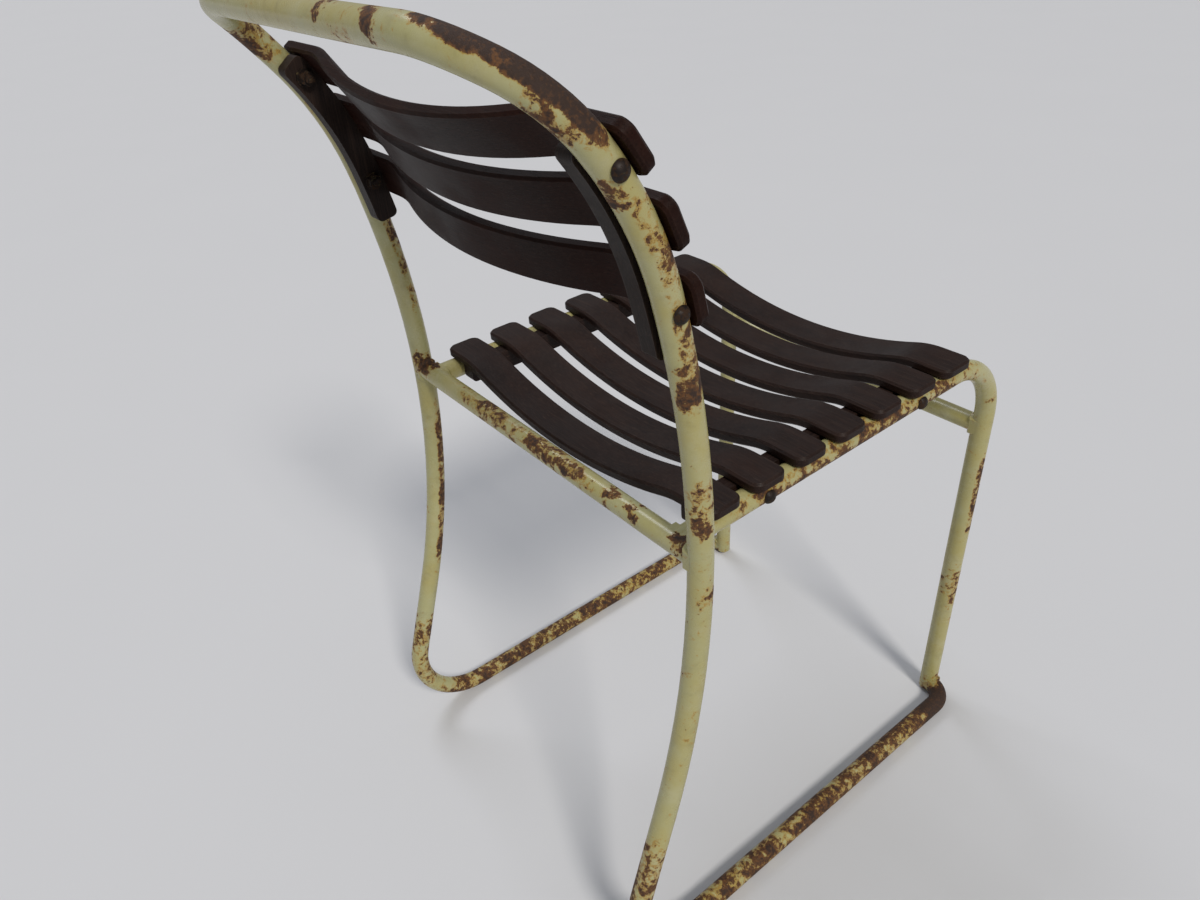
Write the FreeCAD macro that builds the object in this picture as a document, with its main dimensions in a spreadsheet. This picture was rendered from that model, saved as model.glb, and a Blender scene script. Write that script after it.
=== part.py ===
import FreeCAD, Part
import Sketcher

import os
from math import asin, cos, pi, radians, sin

# Stacking chair: a bent steel tube frame with dished wooden slats.
# Units are millimetres and degrees. +Z is up, the sitter faces -Y and the
# sitter's left is +X. The origin is on the floor under the middle of the chair.

OUT_DIR = "parts"
DOCUMENT_NAME = "StackingChair"

# Driving dimensions, as (alias, value or formula, meaning)
DIMENSIONS = [
    ("tube_diameter", "19", "outside diameter of the bent frame tubes"),
    ("cross_diameter", "18", "outside diameter of the two cross tubes"),
    ("upright_spacing", "393", "uprights and runners, axis to axis"),
    ("rail_inset", "25", "rails and front legs, inward from the uprights"),
    ("rear_bend_y", "143.06", "centre of the bend between runner and rear leg"),
    ("rear_bend_radius", "71.5", "centre line radius of that bend"),
    ("rear_leg_rake", "18.5", "lean of the straight part of the rear leg"),
    ("rear_leg_straight", "94", "straight length above the rear bend"),
    ("lower_arc_radius", "807", "long curve through the seat joint"),
    ("lower_arc_lean", "14.25", "lean where the long curve ends"),
    ("upper_arc_radius", "248", "tighter curve of the back"),
    ("hoop_lean", "38.2", "lean where the hoop corners begin"),
    ("hoop_corner_radius", "71.5", "corner radius of the hoop"),
    ("front_corner_y", "-262.24", "where leg and seat rail lines meet"),
    ("front_corner_z", "451.5", "height of the same point"),
    ("front_leg_rake", "0.75", "forward lean of the front legs"),
    ("front_bend_radius", "70", "centre line radius under the knee"),
    ("rail_fall", "0.98", "fall of the seat rails towards the back"),
    ("front_cross_z", "367", "height of the front cross tube"),
    ("foot_edge", "4", "bevel of the closed leg ends"),
    ("joint_gap", "0.1", "cross tube and weld off the curved upright"),
    ("weld_leg", "3", "size of the weld fillets"),
    ("weld_toe", "0.3", "depth of the weld's toe before it is trimmed to the tube"),
    ("slat_thickness", "9", "wood thickness"),
    ("slat_width", "34", "seat and back slats"),
    ("front_slat_width", "38", "the wider slat at the front edge"),
    ("slat_overhang", "3", "seat slat ends, out past the rails"),
    ("back_slat_overhang", "2", "back slat ends, out past the uprights"),
    ("slat_dip", "24", "depth of the dish in a slat"),
    ("dish_radius", "420", "hollow of the slat"),
    ("shoulder_radius", "90", "rounded shoulder next to the flat ends"),
    ("slat_corner_radius", "9", "rounded plan corners"),
    ("slat_edge_break", "1.8", "eased edges"),
    ("seat_slat_pitch", "46.8", "seat slat to seat slat"),
    ("front_slat_distance", "81.7", "front corner to first slat, along the rail"),
    ("top_slat_lean", "34.2", "lean of the upright behind the top back slat"),
    ("middle_slat_lean", "23.2", "lean behind the middle back slat"),
    ("low_slat_lean", "13.6", "lean behind the lowest back slat"),
    ("batten_width", "14", "wooden battens, across the chair"),
    ("seat_batten_front", "64", "front corner to batten start, along the rail"),
    ("seat_batten_back", "375", "front corner to batten end, along the rail"),
    ("back_batten_low_lean", "11.1", "lean at the lower end of the back batten"),
    ("back_batten_top_lean", "37.6", "lean at the upper end of the back batten"),
    ("batten_corner_radius", "5", "rounded batten ends"),
    ("bolt_diameter", "6", "bolt shank"),
    ("bolt_clearance", "0.4", "added to the shank for every bolt hole"),
    ("bolt_head_diameter", "12", "domed head"),
    ("bolt_head_height", "4", "domed head"),
    ("washer_diameter", "14", "plain washer"),
    ("washer_thickness", "1.2", "plain washer"),
    ("nut_across_flats", "10", "hexagon nut"),
    ("nut_thickness", "5", "hexagon nut"),
    ("bolt_tip", "2.5", "thread that stands out of the nut"),
    # Values worked out from the ones above
    ("tube_radius", "=tube_diameter / 2", "frame tubes"),
    ("cross_radius", "=cross_diameter / 2", "cross tubes"),
    ("upright_x", "=upright_spacing / 2", "axis of upright and runner"),
    ("rail_x", "=upright_x - rail_inset", "axis of rail and front leg"),
    ("foot_turn_radius", "=rail_inset", "runner end turning in to the leg"),
    ("slat_half_length", "=rail_x + tube_radius + slat_overhang", "half a seat slat"),
    ("back_slat_half_length", "=upright_x + tube_radius + back_slat_overhang", "half a back slat"),
    ("rear_bend_z", "=tube_radius + rear_bend_radius", "centre of the rear bend"),
    ("leg_start_y", "=rear_bend_y + rear_bend_radius * cos(rear_leg_rake * 1 deg)", "top of rear bend"),
    ("leg_start_z", "=rear_bend_z + rear_bend_radius * sin(rear_leg_rake * 1 deg)", "top of rear bend"),
    ("arc_start_y", "=leg_start_y - rear_leg_straight * sin(rear_leg_rake * 1 deg)", "end of straight"),
    ("arc_start_z", "=leg_start_z + rear_leg_straight * cos(rear_leg_rake * 1 deg)", "end of straight"),
    ("lower_centre_y", "=arc_start_y + lower_arc_radius * cos(rear_leg_rake * 1 deg)", "long curve"),
    ("lower_centre_z", "=arc_start_z + lower_arc_radius * sin(rear_leg_rake * 1 deg)", "long curve"),
    ("arc_change", "=lower_arc_radius - upper_arc_radius", "between the two curve centres"),
    ("upper_centre_y", "=lower_centre_y - arc_change * cos(lower_arc_lean * 1 deg)", "back curve"),
    ("upper_centre_z", "=lower_centre_z + arc_change * sin(lower_arc_lean * 1 deg)", "back curve"),
    ("front_foot_y", "=front_corner_y + front_corner_z * tan(front_leg_rake * 1 deg)", "leg on the floor"),
    ("front_cross_y", "=front_foot_y - front_cross_z * tan(front_leg_rake * 1 deg)", "front cross tube"),
    ("rear_cross_y", "=lower_centre_y - lower_arc_radius", "rear cross tube"),
    ("rail_reach", "=(rear_cross_y - front_corner_y) / cos(rail_fall * 1 deg)", "rail to the cross tube"),
    ("rear_cross_z", "=front_corner_z - rail_reach * sin(rail_fall * 1 deg)", "rear cross tube"),
    ("batten_x", "=rail_x - tube_radius - batten_width", "inner face of the seat battens"),
    ("back_batten_x", "=upright_x - tube_radius - batten_width", "inner face of the back battens"),
    ("bolt_hole_diameter", "=bolt_diameter + bolt_clearance", "bolt holes"),
    ("bolt_grip", "=tube_diameter + batten_width", "tube and batten"),
]

SEAT_SLAT_COUNT = 7
ALMOST_FLAT = 0.01
ACROSS = FreeCAD.Vector(0, 1, 0)
FORE_AND_AFT = FreeCAD.Vector(1, 0, 0)

doc = FreeCAD.newDocument(DOCUMENT_NAME)
sheet = doc.addObject("Spreadsheet::Sheet", "Dimensions")
for row, (alias, value, note) in enumerate(DIMENSIONS, start=1):
    sheet.set("A%d" % row, note)
    sheet.set("B%d" % row, value)
    sheet.setAlias("B%d" % row, alias)
doc.recompute()

exports = []


def dim(alias):
    """Return a dimension of the sheet as a plain number."""
    value = sheet.get(alias)
    return float(getattr(value, "Value", value))


def bind(obj, prop, formula):
    """Bind a property to a formula in which each [alias] stands for a sheet cell."""
    obj.setExpression(prop, formula.replace("[", "Dimensions.").replace("]", ""))


def place(obj, x="0", y="0", z="0", tilt=None):
    """Bind the placement of a piece: a position and a turn about the X axis."""
    if tilt is not None:
        obj.Placement = FreeCAD.Placement(
            FreeCAD.Vector(), FreeCAD.Rotation(FreeCAD.Vector(1, 0, 0), 1.0))
        bind(obj, "Placement.Rotation.Angle", tilt)
    bind(obj, "Placement.Base.x", x)
    bind(obj, "Placement.Base.y", y)
    bind(obj, "Placement.Base.z", z)


def export_as(obj, name):
    """Name a finished sub-part and list it for export."""
    obj.Label = name
    exports.append(obj)


def point(x, y, z):
    """Return a vector."""
    return FreeCAD.Vector(x, y, z)


def arc_edge(start, middle, end):
    """Return a circular edge through three points."""
    return Part.Arc(start, middle, end).toShape()


# Frame line
def lower_arc_point(x, lean):
    """Return the point of the long curve whose tangent leans back by lean."""
    angle = radians(lean)
    radius = dim("lower_arc_radius")
    return point(x, dim("lower_centre_y") - radius * cos(angle),
                 dim("lower_centre_z") + radius * sin(angle))


def upper_arc_point(x, lean):
    """Return the point of the back curve whose tangent leans back by lean."""
    angle = radians(lean)
    radius = dim("upper_arc_radius")
    return point(x, dim("upper_centre_y") - radius * cos(angle),
                 dim("upper_centre_z") + radius * sin(angle))


def tangent_arc(start, tangent, end):
    """Return the circular edge that leaves start along tangent and reaches end."""
    chord = end - start
    along = FreeCAD.Vector(chord).normalize()
    tangent = FreeCAD.Vector(tangent).normalize()
    outward = (tangent - along * tangent.dot(along)).normalize()
    half_angle = tangent.getAngle(chord) / 2
    rise = chord.Length / 2 * sin(half_angle) / cos(half_angle)
    return arc_edge(start, (start + end) / 2 + outward * rise, end)


def hoop_corner_end():
    """Return where the corner meets the hoop's top, on the curved back surface."""
    radius = dim("hoop_corner_radius")
    turned = radius / dim("upper_arc_radius") * 180.0 / pi
    return upper_arc_point(dim("upright_x") - radius, dim("hoop_lean") + turned)


def hoop_corner_edges():
    """Return the hoop corner as two arcs that meet each other and their neighbours in line."""
    lean = radians(dim("hoop_lean"))
    start = upper_arc_point(dim("upright_x"), dim("hoop_lean"))
    end = hoop_corner_end()
    start_way = point(0, sin(lean), cos(lean))
    end_way = point(-1, 0, 0)
    chord = end - start
    ways = start_way + end_way
    spread = 2 * (1 - start_way.dot(end_way))
    reach = ((chord.dot(ways) ** 2 + spread * chord.dot(chord)) ** 0.5 - chord.dot(ways)) / spread
    join = (start + start_way * reach + end - end_way * reach) / 2
    return [tangent_arc(start, start_way, join), tangent_arc(end, -end_way, join)]


def half_frame_line():
    """Return the left half of the frame line, from the foot to the middle of the hoop."""
    x = dim("upright_x")
    low = dim("tube_radius")
    turn = dim("foot_turn_radius")
    foot_y = dim("front_foot_y")
    half_turn = turn * cos(pi / 4)
    bend = dim("rear_bend_radius")
    bend_y = dim("rear_bend_y")
    bend_z = dim("rear_bend_z")
    rake = dim("rear_leg_rake")
    middle = radians(45.0 - rake / 2)
    foot = point(dim("rail_x"), foot_y, low)
    foot_middle = point(dim("rail_x") + half_turn, foot_y + turn - half_turn, low)
    runner_front = point(x, foot_y + turn, low)
    runner_back = point(x, bend_y, low)
    bend_middle = point(x, bend_y + bend * cos(middle), bend_z - bend * sin(middle))
    leg_start = point(x, dim("leg_start_y"), dim("leg_start_z"))
    arc_start = lower_arc_point(x, -rake)
    join = dim("lower_arc_lean")
    arc_middle = lower_arc_point(x, (join - rake) / 2)
    arc_end = lower_arc_point(x, join)
    back_middle = upper_arc_point(x, (join + dim("hoop_lean")) / 2)
    hoop_start = upper_arc_point(x, dim("hoop_lean"))
    corner_end = hoop_corner_end()
    first_corner, last_corner = hoop_corner_edges()
    return Part.Wire([
        arc_edge(foot, foot_middle, runner_front),
        Part.makeLine(runner_front, runner_back),
        arc_edge(runner_back, bend_middle, leg_start),
        Part.makeLine(leg_start, arc_start),
        arc_edge(arc_start, arc_middle, arc_end),
        arc_edge(arc_end, back_middle, hoop_start),
        first_corner,
        last_corner,
        Part.makeLine(corner_end, point(0, corner_end.y, corner_end.z)),
    ])


def side_line():
    """Return the line of the left front leg and seat rail, from the floor to the back."""
    x = dim("rail_x")
    rake = radians(dim("front_leg_rake"))
    fall = radians(dim("rail_fall"))
    radius = dim("front_bend_radius")
    corner = point(x, dim("front_corner_y"), dim("front_corner_z"))
    up_leg = point(0, -sin(rake), cos(rake))
    along_rail = point(0, cos(fall), -sin(fall))
    turn = pi / 2 + fall + rake
    reach = radius * sin(turn / 2) / cos(turn / 2)
    knee_start = corner - up_leg * reach
    knee_end = corner + along_rail * reach
    centre = knee_start + point(0, cos(rake), sin(rake)) * radius
    knee_middle = centre + (corner - centre).normalize() * radius
    below_floor = point(x, dim("front_foot_y"), 0) - up_leg * dim("tube_radius")
    rail_end = corner + along_rail * dim("rail_reach")
    return Part.Wire([
        Part.makeLine(below_floor, knee_start),
        arc_edge(knee_start, knee_middle, knee_end),
        Part.makeLine(knee_end, rail_end),
    ])


def sweep_tube(name, wire, start, direction):
    """Sweep the tube circle along a line made from the sheet's values."""
    spine = doc.addObject("Part::Feature", name + "_line")
    spine.Shape = wire
    circle = doc.addObject("Part::Circle", name + "_circle")
    bind(circle, "Radius", "[tube_radius]")
    circle.Placement = FreeCAD.Placement(
        start, FreeCAD.Rotation(FreeCAD.Vector(0, 0, 1), direction))
    sweep = doc.addObject("Part::Sweep", name + "_sweep")
    sweep.Sections = [circle]
    sweep.Spine = (spine, ["Edge%d" % (i + 1) for i in range(len(wire.Edges))])
    sweep.Solid = True
    sweep.Frenet = False
    return sweep


def cut(name, base, tool):
    """Cut one shape with another."""
    result = doc.addObject("Part::Cut", name)
    result.Base = base
    result.Tool = tool
    return result


def bar_along_x(name, radius, length, y, z):
    """Return a round bar that lies across the chair, with its seam low at the back."""
    bar = doc.addObject("Part::Cylinder", name)
    bind(bar, "Radius", radius)
    bind(bar, "Height", length)
    bar.Placement = FreeCAD.Placement(FreeCAD.Vector(), FreeCAD.Rotation(
        FreeCAD.Vector(0, 1, -1), FreeCAD.Vector(0, 1, 1), FreeCAD.Vector(1, 0, 0), "ZXY"))
    bind(bar, "Placement.Base.x", "-(" + length + ") / 2")
    bind(bar, "Placement.Base.y", y)
    bind(bar, "Placement.Base.z", z)
    return bar


# Where the bolts go, as (name, y formula, z formula, half spacing of the tubes)
RAIL_POINT_Y = "[front_corner_y] + ({d}) * cos([rail_fall] * 1 deg)"
RAIL_POINT_Z = "[front_corner_z] - ({d}) * sin([rail_fall] * 1 deg)"
SLAT_DISTANCE = "[front_slat_distance] + {n} * [seat_slat_pitch]"


def rail_point(distance):
    """Return the y and z formulas of a point on the rail axis."""
    return RAIL_POINT_Y.format(d=distance), RAIL_POINT_Z.format(d=distance)


def back_point(lean, radius="[upper_arc_radius]", arc="upper"):
    """Return the y and z formulas of a point beside the back curve axis."""
    y = "[%s_centre_y] - (%s) * cos(%s * 1 deg)" % (arc, radius, lean)
    z = "[%s_centre_z] + (%s) * sin(%s * 1 deg)" % (arc, radius, lean)
    return y, z


FRONT_BOLT = rail_point(SLAT_DISTANCE.format(n=1))
REAR_BOLT = rail_point(SLAT_DISTANCE.format(n=5))
TOP_BOLT = back_point("[top_slat_lean]")
LOW_BOLT = back_point("[low_slat_lean]", "[lower_arc_radius]", "lower")
BOLTS = [
    ("seat_front", FRONT_BOLT, "rail_x"),
    ("seat_rear", REAR_BOLT, "rail_x"),
    ("back_top", TOP_BOLT, "upright_x"),
    ("back_low", LOW_BOLT, "upright_x"),
]

def mirrored(name, source):
    """Return the other side's copy of a shape."""
    copy = doc.addObject("Part::Mirroring", name)
    copy.Source = source
    copy.Normal = FORE_AND_AFT
    return copy


# Bolt holes through the tubes and the battens
hole_bars = {"rail_x": [], "upright_x": []}
for bolt_name, (bolt_y, bolt_z), axis_name in BOLTS:
    hole_bars[axis_name].append(bar_along_x(
        bolt_name + "_hole", "[bolt_hole_diameter] / 2",
        "[%s] * 2 + [tube_diameter] * 2" % axis_name, bolt_y, bolt_z))
holes = {}
for axis_name, bars in hole_bars.items():
    holes[axis_name] = doc.addObject("Part::MultiFuse", axis_name + "_holes")
    holes[axis_name].Shapes = bars

# The frame tube is swept as one half, whose foot is fitted to the leg, and mirrored
frame_sweep = sweep_tube("frame", half_frame_line(),
                         point(dim("rail_x"), dim("front_foot_y"), dim("tube_radius")), FORE_AND_AFT)
foot_tool = doc.addObject("Part::Cylinder", "foot_tool")
bind(foot_tool, "Radius", "[tube_radius]")
bind(foot_tool, "Height", "[tube_diameter] * 2")
place(foot_tool, x="[rail_x]", y="[front_foot_y] + [tube_radius] * tan([front_leg_rake] * 1 deg)",
      z="-[tube_radius]", tilt="[front_leg_rake]")
frame_half = cut("frame_foot_cut", frame_sweep, foot_tool)
frame_half = cut("frame_bolt_cut", frame_half, holes["upright_x"])
frame_tube = doc.addObject("Part::MultiFuse", "frame_whole")
frame_tube.Shapes = [frame_half, mirrored("frame_other_half", frame_half)]
frame_tube.Refine = True
export_as(frame_tube, "frame_tube")

# Side tubes: front leg, knee and seat rail in one, with a closed and bevelled foot
side_wire = side_line()
leg_start = side_wire.OrderedVertexes[0].Point
side_sweep = sweep_tube("side", side_wire, leg_start, side_wire.OrderedVertexes[1].Point - leg_start)
ground = doc.addObject("Part::Box", "ground")
bind(ground, "Length", "[upright_spacing] * 2")
bind(ground, "Width", "[tube_diameter] * 2")
bind(ground, "Height", "[tube_diameter]")
place(ground, x="-[upright_spacing]", y="[front_foot_y] - [tube_diameter]", z="-[tube_diameter]")
rear_bar = bar_along_x("rear_bar", "[cross_radius]", "[upright_spacing]",
                       "[rear_cross_y]", "[rear_cross_z]")
front_bar = bar_along_x("front_bar", "[cross_radius]", "[rail_x] * 2",
                        "[front_cross_y]", "[front_cross_z]")
side_fitted = cut("side_back_cut", side_sweep, rear_bar)
side_fitted = cut("side_bolt_cut", side_fitted, holes["rail_x"])
side_fitted = cut("side_floor_cut", side_fitted, ground)
doc.recompute()
side_tube = doc.addObject("Part::Chamfer", "side_foot")
side_tube.Base = side_fitted
foot_edge = dim("foot_edge")
side_tube.Edges = [(index, foot_edge, foot_edge)
                   for index, edge in enumerate(side_fitted.Shape.Edges, start=1)
                   if edge.BoundBox.ZMax < foot_edge / 2]
export_as(side_tube, "side_tube_left")
export_as(mirrored("side_other", side_tube), "side_tube_right")

# Cross tubes, each fitted over the tubes that it meets
side_sweeps = doc.addObject("Part::Compound", "side_sweeps")
side_sweeps.Links = [side_sweep, mirrored("side_sweep_other", side_sweep)]
upright_tools = doc.addObject("Part::Compound", "upright_tools")
upright_tool = doc.addObject("Part::Cylinder", "upright_tool")
bind(upright_tool, "Radius", "[tube_radius] + [joint_gap]")
bind(upright_tool, "Height", "[tube_diameter] * 2")
place(upright_tool, x="[upright_x]", y="[rear_cross_y]", z="[rear_cross_z] - [tube_diameter]")
upright_tools.Links = [upright_tool, mirrored("upright_tool_other", upright_tool)]
export_as(cut("rear_cross_cut", rear_bar, upright_tools), "rear_cross_tube")
export_as(cut("front_cross_cut", front_bar, side_sweeps), "front_cross_tube")


# Weld fillets: each bead stays within the sides of the two tubes that it joins
def common(name, base, tool):
    """Keep what two shapes share."""
    result = doc.addObject("Part::Common", name)
    result.Base = base
    result.Tool = tool
    return result


def weld_bead(name, joined, parent, centre, surface, turn_axis, turn):
    """Return a bevelled collar round a tube that meets the side of another.

    joined and parent are the two radii, centre is where their axes meet and
    surface where the joined tube's axis leaves the parent.
    """
    collar = doc.addObject("Part::Cylinder", name + "_collar")
    bind(collar, "Radius", joined + " + [weld_leg]")
    bind(collar, "Height", parent)
    bevel = doc.addObject("Part::Cone", name + "_bevel")
    bind(bevel, "Radius1", joined + " + [weld_leg]")
    bind(bevel, "Radius2", joined + " - [weld_toe]")
    bind(bevel, "Height", "[weld_leg] + [weld_toe]")
    for piece, base in ((collar, centre), (bevel, surface)):
        piece.Placement = FreeCAD.Placement(FreeCAD.Vector(), FreeCAD.Rotation(turn_axis, 1.0))
        bind(piece, "Placement.Rotation.Angle", turn)
        place(piece, *base)
    bead = doc.addObject("Part::MultiFuse", name + "_bead")
    bead.Shapes = [collar, bevel]
    return bead


def bounded(name, weld, girth, size, corner):
    """Keep a weld within the thickened parent and a box of the parent's width."""
    sides = doc.addObject("Part::Box", name + "_sides")
    for prop, formula in zip(("Length", "Width", "Height"), size):
        bind(sides, prop, formula)
    place(sides, *corner)
    return common(name + "_bounded", weld, common(name + "_bounds", girth, sides))


def standing_bounded(name, weld, x, y, z):
    """Keep a weld on an upright tube within its thickness and its sides."""
    girth = doc.addObject("Part::Cylinder", name + "_girth")
    bind(girth, "Radius", "[tube_radius] + [weld_leg]")
    bind(girth, "Height", WELD_SPAN)
    place(girth, x=x, y=y, z=z)
    return bounded(name, weld, girth, ("[tube_diameter] * 2", "[tube_diameter]", WELD_SPAN),
                   (x + " - [tube_diameter]", y + " - [tube_radius]", z))


def trimmed(name, weld, tools):
    """Cut a weld back to the tubes that it joins."""
    for index, tool in enumerate(tools, start=1):
        weld = cut("%s_trim_%d" % (name, index), weld, tool)
    return weld


WELD_SPAN = "([tube_radius] + [weld_leg]) * 2"
BELOW = " - [tube_radius] - [weld_leg]"
rear_weld = weld_bead(
    "rear_weld", "[cross_radius]", "[tube_radius]",
    ("[upright_x]", "[rear_cross_y]", "[rear_cross_z]"),
    ("[upright_x] - [tube_radius]", "[rear_cross_y]", "[rear_cross_z]"), ACROSS, "-90")
rear_weld = standing_bounded("rear_weld", rear_weld,
                             "[upright_x]", "[rear_cross_y]", "[rear_cross_z]" + BELOW)
rear_weld = trimmed("rear_weld", rear_weld, [upright_tool, rear_bar, side_sweep])
front_weld = weld_bead(
    "front_weld", "[cross_radius]", "[tube_radius]",
    ("[rail_x]", "[front_cross_y]", "[front_cross_z]"),
    ("[rail_x] - [tube_radius]", "[front_cross_y]", "[front_cross_z]"), ACROSS, "-90")
front_weld = standing_bounded("front_weld", front_weld,
                              "[rail_x]", "[front_cross_y]", "[front_cross_z]" + BELOW)
front_weld = trimmed("front_weld", front_weld, [side_sweep, front_bar])
rail_weld = weld_bead(
    "rail_weld", "[tube_radius]", "[cross_radius]",
    ("[rail_x]", *rail_point("[rail_reach]")),
    ("[rail_x]", *rail_point("[rail_reach] - [cross_radius]")), FORE_AND_AFT, "90 - [rail_fall]")
rail_girth = bar_along_x("rail_weld_girth", "[cross_radius] + [weld_leg]",
                         "[upright_spacing]", "[rear_cross_y]", "[rear_cross_z]")
rail_weld = bounded("rail_weld", rail_weld, rail_girth,
                    (WELD_SPAN, "[tube_diameter] - [weld_toe]", "[cross_diameter]"),
                    ("[rail_x]" + BELOW, "[rear_cross_y] - [tube_diameter]",
                     "[rear_cross_z] - [cross_radius]"))
rail_tool = doc.addObject("Part::Cylinder", "rail_tool")
bind(rail_tool, "Radius", "[tube_radius]")
bind(rail_tool, "Height", "[tube_diameter] * 2")
tool_y, tool_z = rail_point("[rail_reach] - [tube_diameter]")
place(rail_tool, x="[rail_x]", y=tool_y, z=tool_z, tilt="-90 - [rail_fall]")
rail_weld = trimmed("rail_weld", rail_weld, [rear_bar, rail_tool, rear_weld])
foot_weld = doc.addObject("Part::Torus", "foot_weld_collar")
foot_weld.Angle3 = 90
foot_weld.Placement = FreeCAD.Placement(
    FreeCAD.Vector(), FreeCAD.Rotation(FreeCAD.Vector(0, 0, 1), -90))
bind(foot_weld, "Radius1", "[foot_turn_radius]")
bind(foot_weld, "Radius2", "[tube_radius] + [weld_leg]")
place(foot_weld, x="[rail_x]", y="[front_foot_y] + [foot_turn_radius]", z="[tube_radius]")
foot_weld = standing_bounded("foot_weld", foot_weld, "[rail_x]", "[front_foot_y]", "[tube_radius]")
foot_weld = trimmed("foot_weld", foot_weld, [foot_tool, frame_tube])
left_welds = doc.addObject("Part::Compound", "left_welds")
left_welds.Links = [rear_weld, front_weld, rail_weld, foot_weld]
weld_group = doc.addObject("Part::Compound", "weld_group")
weld_group.Links = [left_welds, mirrored("right_welds", left_welds)]
export_as(weld_group, "weld_fillets")


# Wooden pieces
def origin_plane(body, role):
    """Return one of the body's own origin planes."""
    return [item for item in body.Origin.OriginFeatures if item.Role == role][0]


def add_sketch(body, name, role):
    """Add a sketch on one of the body's own origin planes."""
    sketch = body.newObject("Sketcher::SketchObject", name)
    sketch.AttachmentSupport = [(origin_plane(body, role), "")]
    sketch.MapMode = "FlatFace"
    return sketch


START, END, CENTRE = range(1, 4)
X_AXIS, Z_AXIS = range(-1, -3, -1)


def constrain(sketch, rows):
    """Add plain geometric constraints to a sketch."""
    for row in rows:
        sketch.addConstraint(Sketcher.Constraint(*row))


def drive(sketch, name, formula, *row):
    """Add a dimension to a sketch and bind it to the sheet."""
    index = sketch.addConstraint(Sketcher.Constraint(*row))
    sketch.renameConstraint(index, name)
    bind(sketch, "Constraints." + name, formula)


def side_faces(shape):
    """Return the faces that stand upright, by their place in the shape."""
    upright = []
    for face in shape.Faces:
        first_u, last_u, first_v, last_v = face.ParameterRange
        normal = face.normalAt((first_u + last_u) / 2, (first_v + last_v) / 2)
        upright.append(abs(normal.z) < ALMOST_FLAT)
    return upright


def edge_names(shape, upright_neighbours):
    """Return the names of the edges with so many upright neighbour faces."""
    upright = side_faces(shape)
    names = []
    for index, edge in enumerate(shape.Edges, start=1):
        neighbours = shape.ancestorsOfType(edge, Part.Face)
        count = sum(upright[i] for i, face in enumerate(shape.Faces)
                    if any(face.isSame(other) for other in neighbours))
        if len(neighbours) == 2 and count == upright_neighbours:
            names.append("Edge%d" % index)
    return names


def draw_slat_section(body, name, half_length):
    """Draw half of the slat's long section: flat end, shoulder and dish."""
    sketch = add_sketch(body, name, "XZ_Plane")
    thick = dim("slat_thickness")
    dip = dim("slat_dip")
    dish = dim("dish_radius")
    shoulder = dim("shoulder_radius")
    end = dim(half_length)
    span = dish + shoulder
    rise = span - dip
    flat_x = (span ** 2 - rise ** 2) ** 0.5
    swing = asin(flat_x / span)
    dish_centre = point(0, thick - dip + dish, 0)
    shoulder_centre = point(flat_x, thick - shoulder, 0)
    upward = point(0, 0, 1)

    def dish_arc(radius):
        circle = Part.Circle(dish_centre, upward, radius)
        return sketch.addGeometry(Part.ArcOfCircle(circle, -pi / 2, swing - pi / 2))

    def shoulder_arc(radius):
        circle = Part.Circle(shoulder_centre, upward, radius)
        return sketch.addGeometry(Part.ArcOfCircle(circle, pi / 2, pi / 2 + swing))

    def line(first, last):
        return sketch.addGeometry(Part.LineSegment(first, last))

    middle_line = line(point(0, thick - dip, 0), point(0, -dip, 0))
    low_dish = dish_arc(dish + thick)
    low_shoulder = shoulder_arc(shoulder - thick)
    low_line = line(point(flat_x, 0, 0), point(end, 0, 0))
    end_line = line(point(end, 0, 0), point(end, thick, 0))
    top_line = line(point(end, thick, 0), point(flat_x, thick, 0))
    top_shoulder = shoulder_arc(shoulder)
    top_dish = dish_arc(dish)
    constrain(sketch, [
        ("Coincident", middle_line, END, low_dish, START),
        ("Tangent", low_dish, END, low_shoulder, END),
        ("Tangent", low_shoulder, START, low_line, START),
        ("Coincident", low_line, END, end_line, START),
        ("Coincident", end_line, END, top_line, START),
        ("Tangent", top_line, END, top_shoulder, START),
        ("Tangent", top_shoulder, END, top_dish, END),
        ("Coincident", top_dish, START, middle_line, START),
        ("Coincident", low_dish, CENTRE, top_dish, CENTRE),
        ("Coincident", low_shoulder, CENTRE, top_shoulder, CENTRE),
        ("PointOnObject", top_dish, CENTRE, Z_AXIS),
        ("PointOnObject", middle_line, START, Z_AXIS),
        ("PointOnObject", middle_line, END, Z_AXIS),
        ("PointOnObject", low_line, END, X_AXIS),
        ("Horizontal", low_line),
        ("Vertical", end_line),
        ("Horizontal", top_line),
    ])
    drive(sketch, "half_length", "[%s]" % half_length,
          "DistanceX", X_AXIS, START, end_line, START, end)
    drive(sketch, "thickness", "[slat_thickness]",
          "DistanceY", end_line, START, end_line, END, thick)
    drive(sketch, "dip", "[slat_dip]",
          "DistanceY", middle_line, END, X_AXIS, START, dip)
    drive(sketch, "dish", "[dish_radius]", "Radius", top_dish, dish)
    drive(sketch, "shoulder", "[shoulder_radius]", "Radius", top_shoulder, shoulder)
    return sketch


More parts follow.
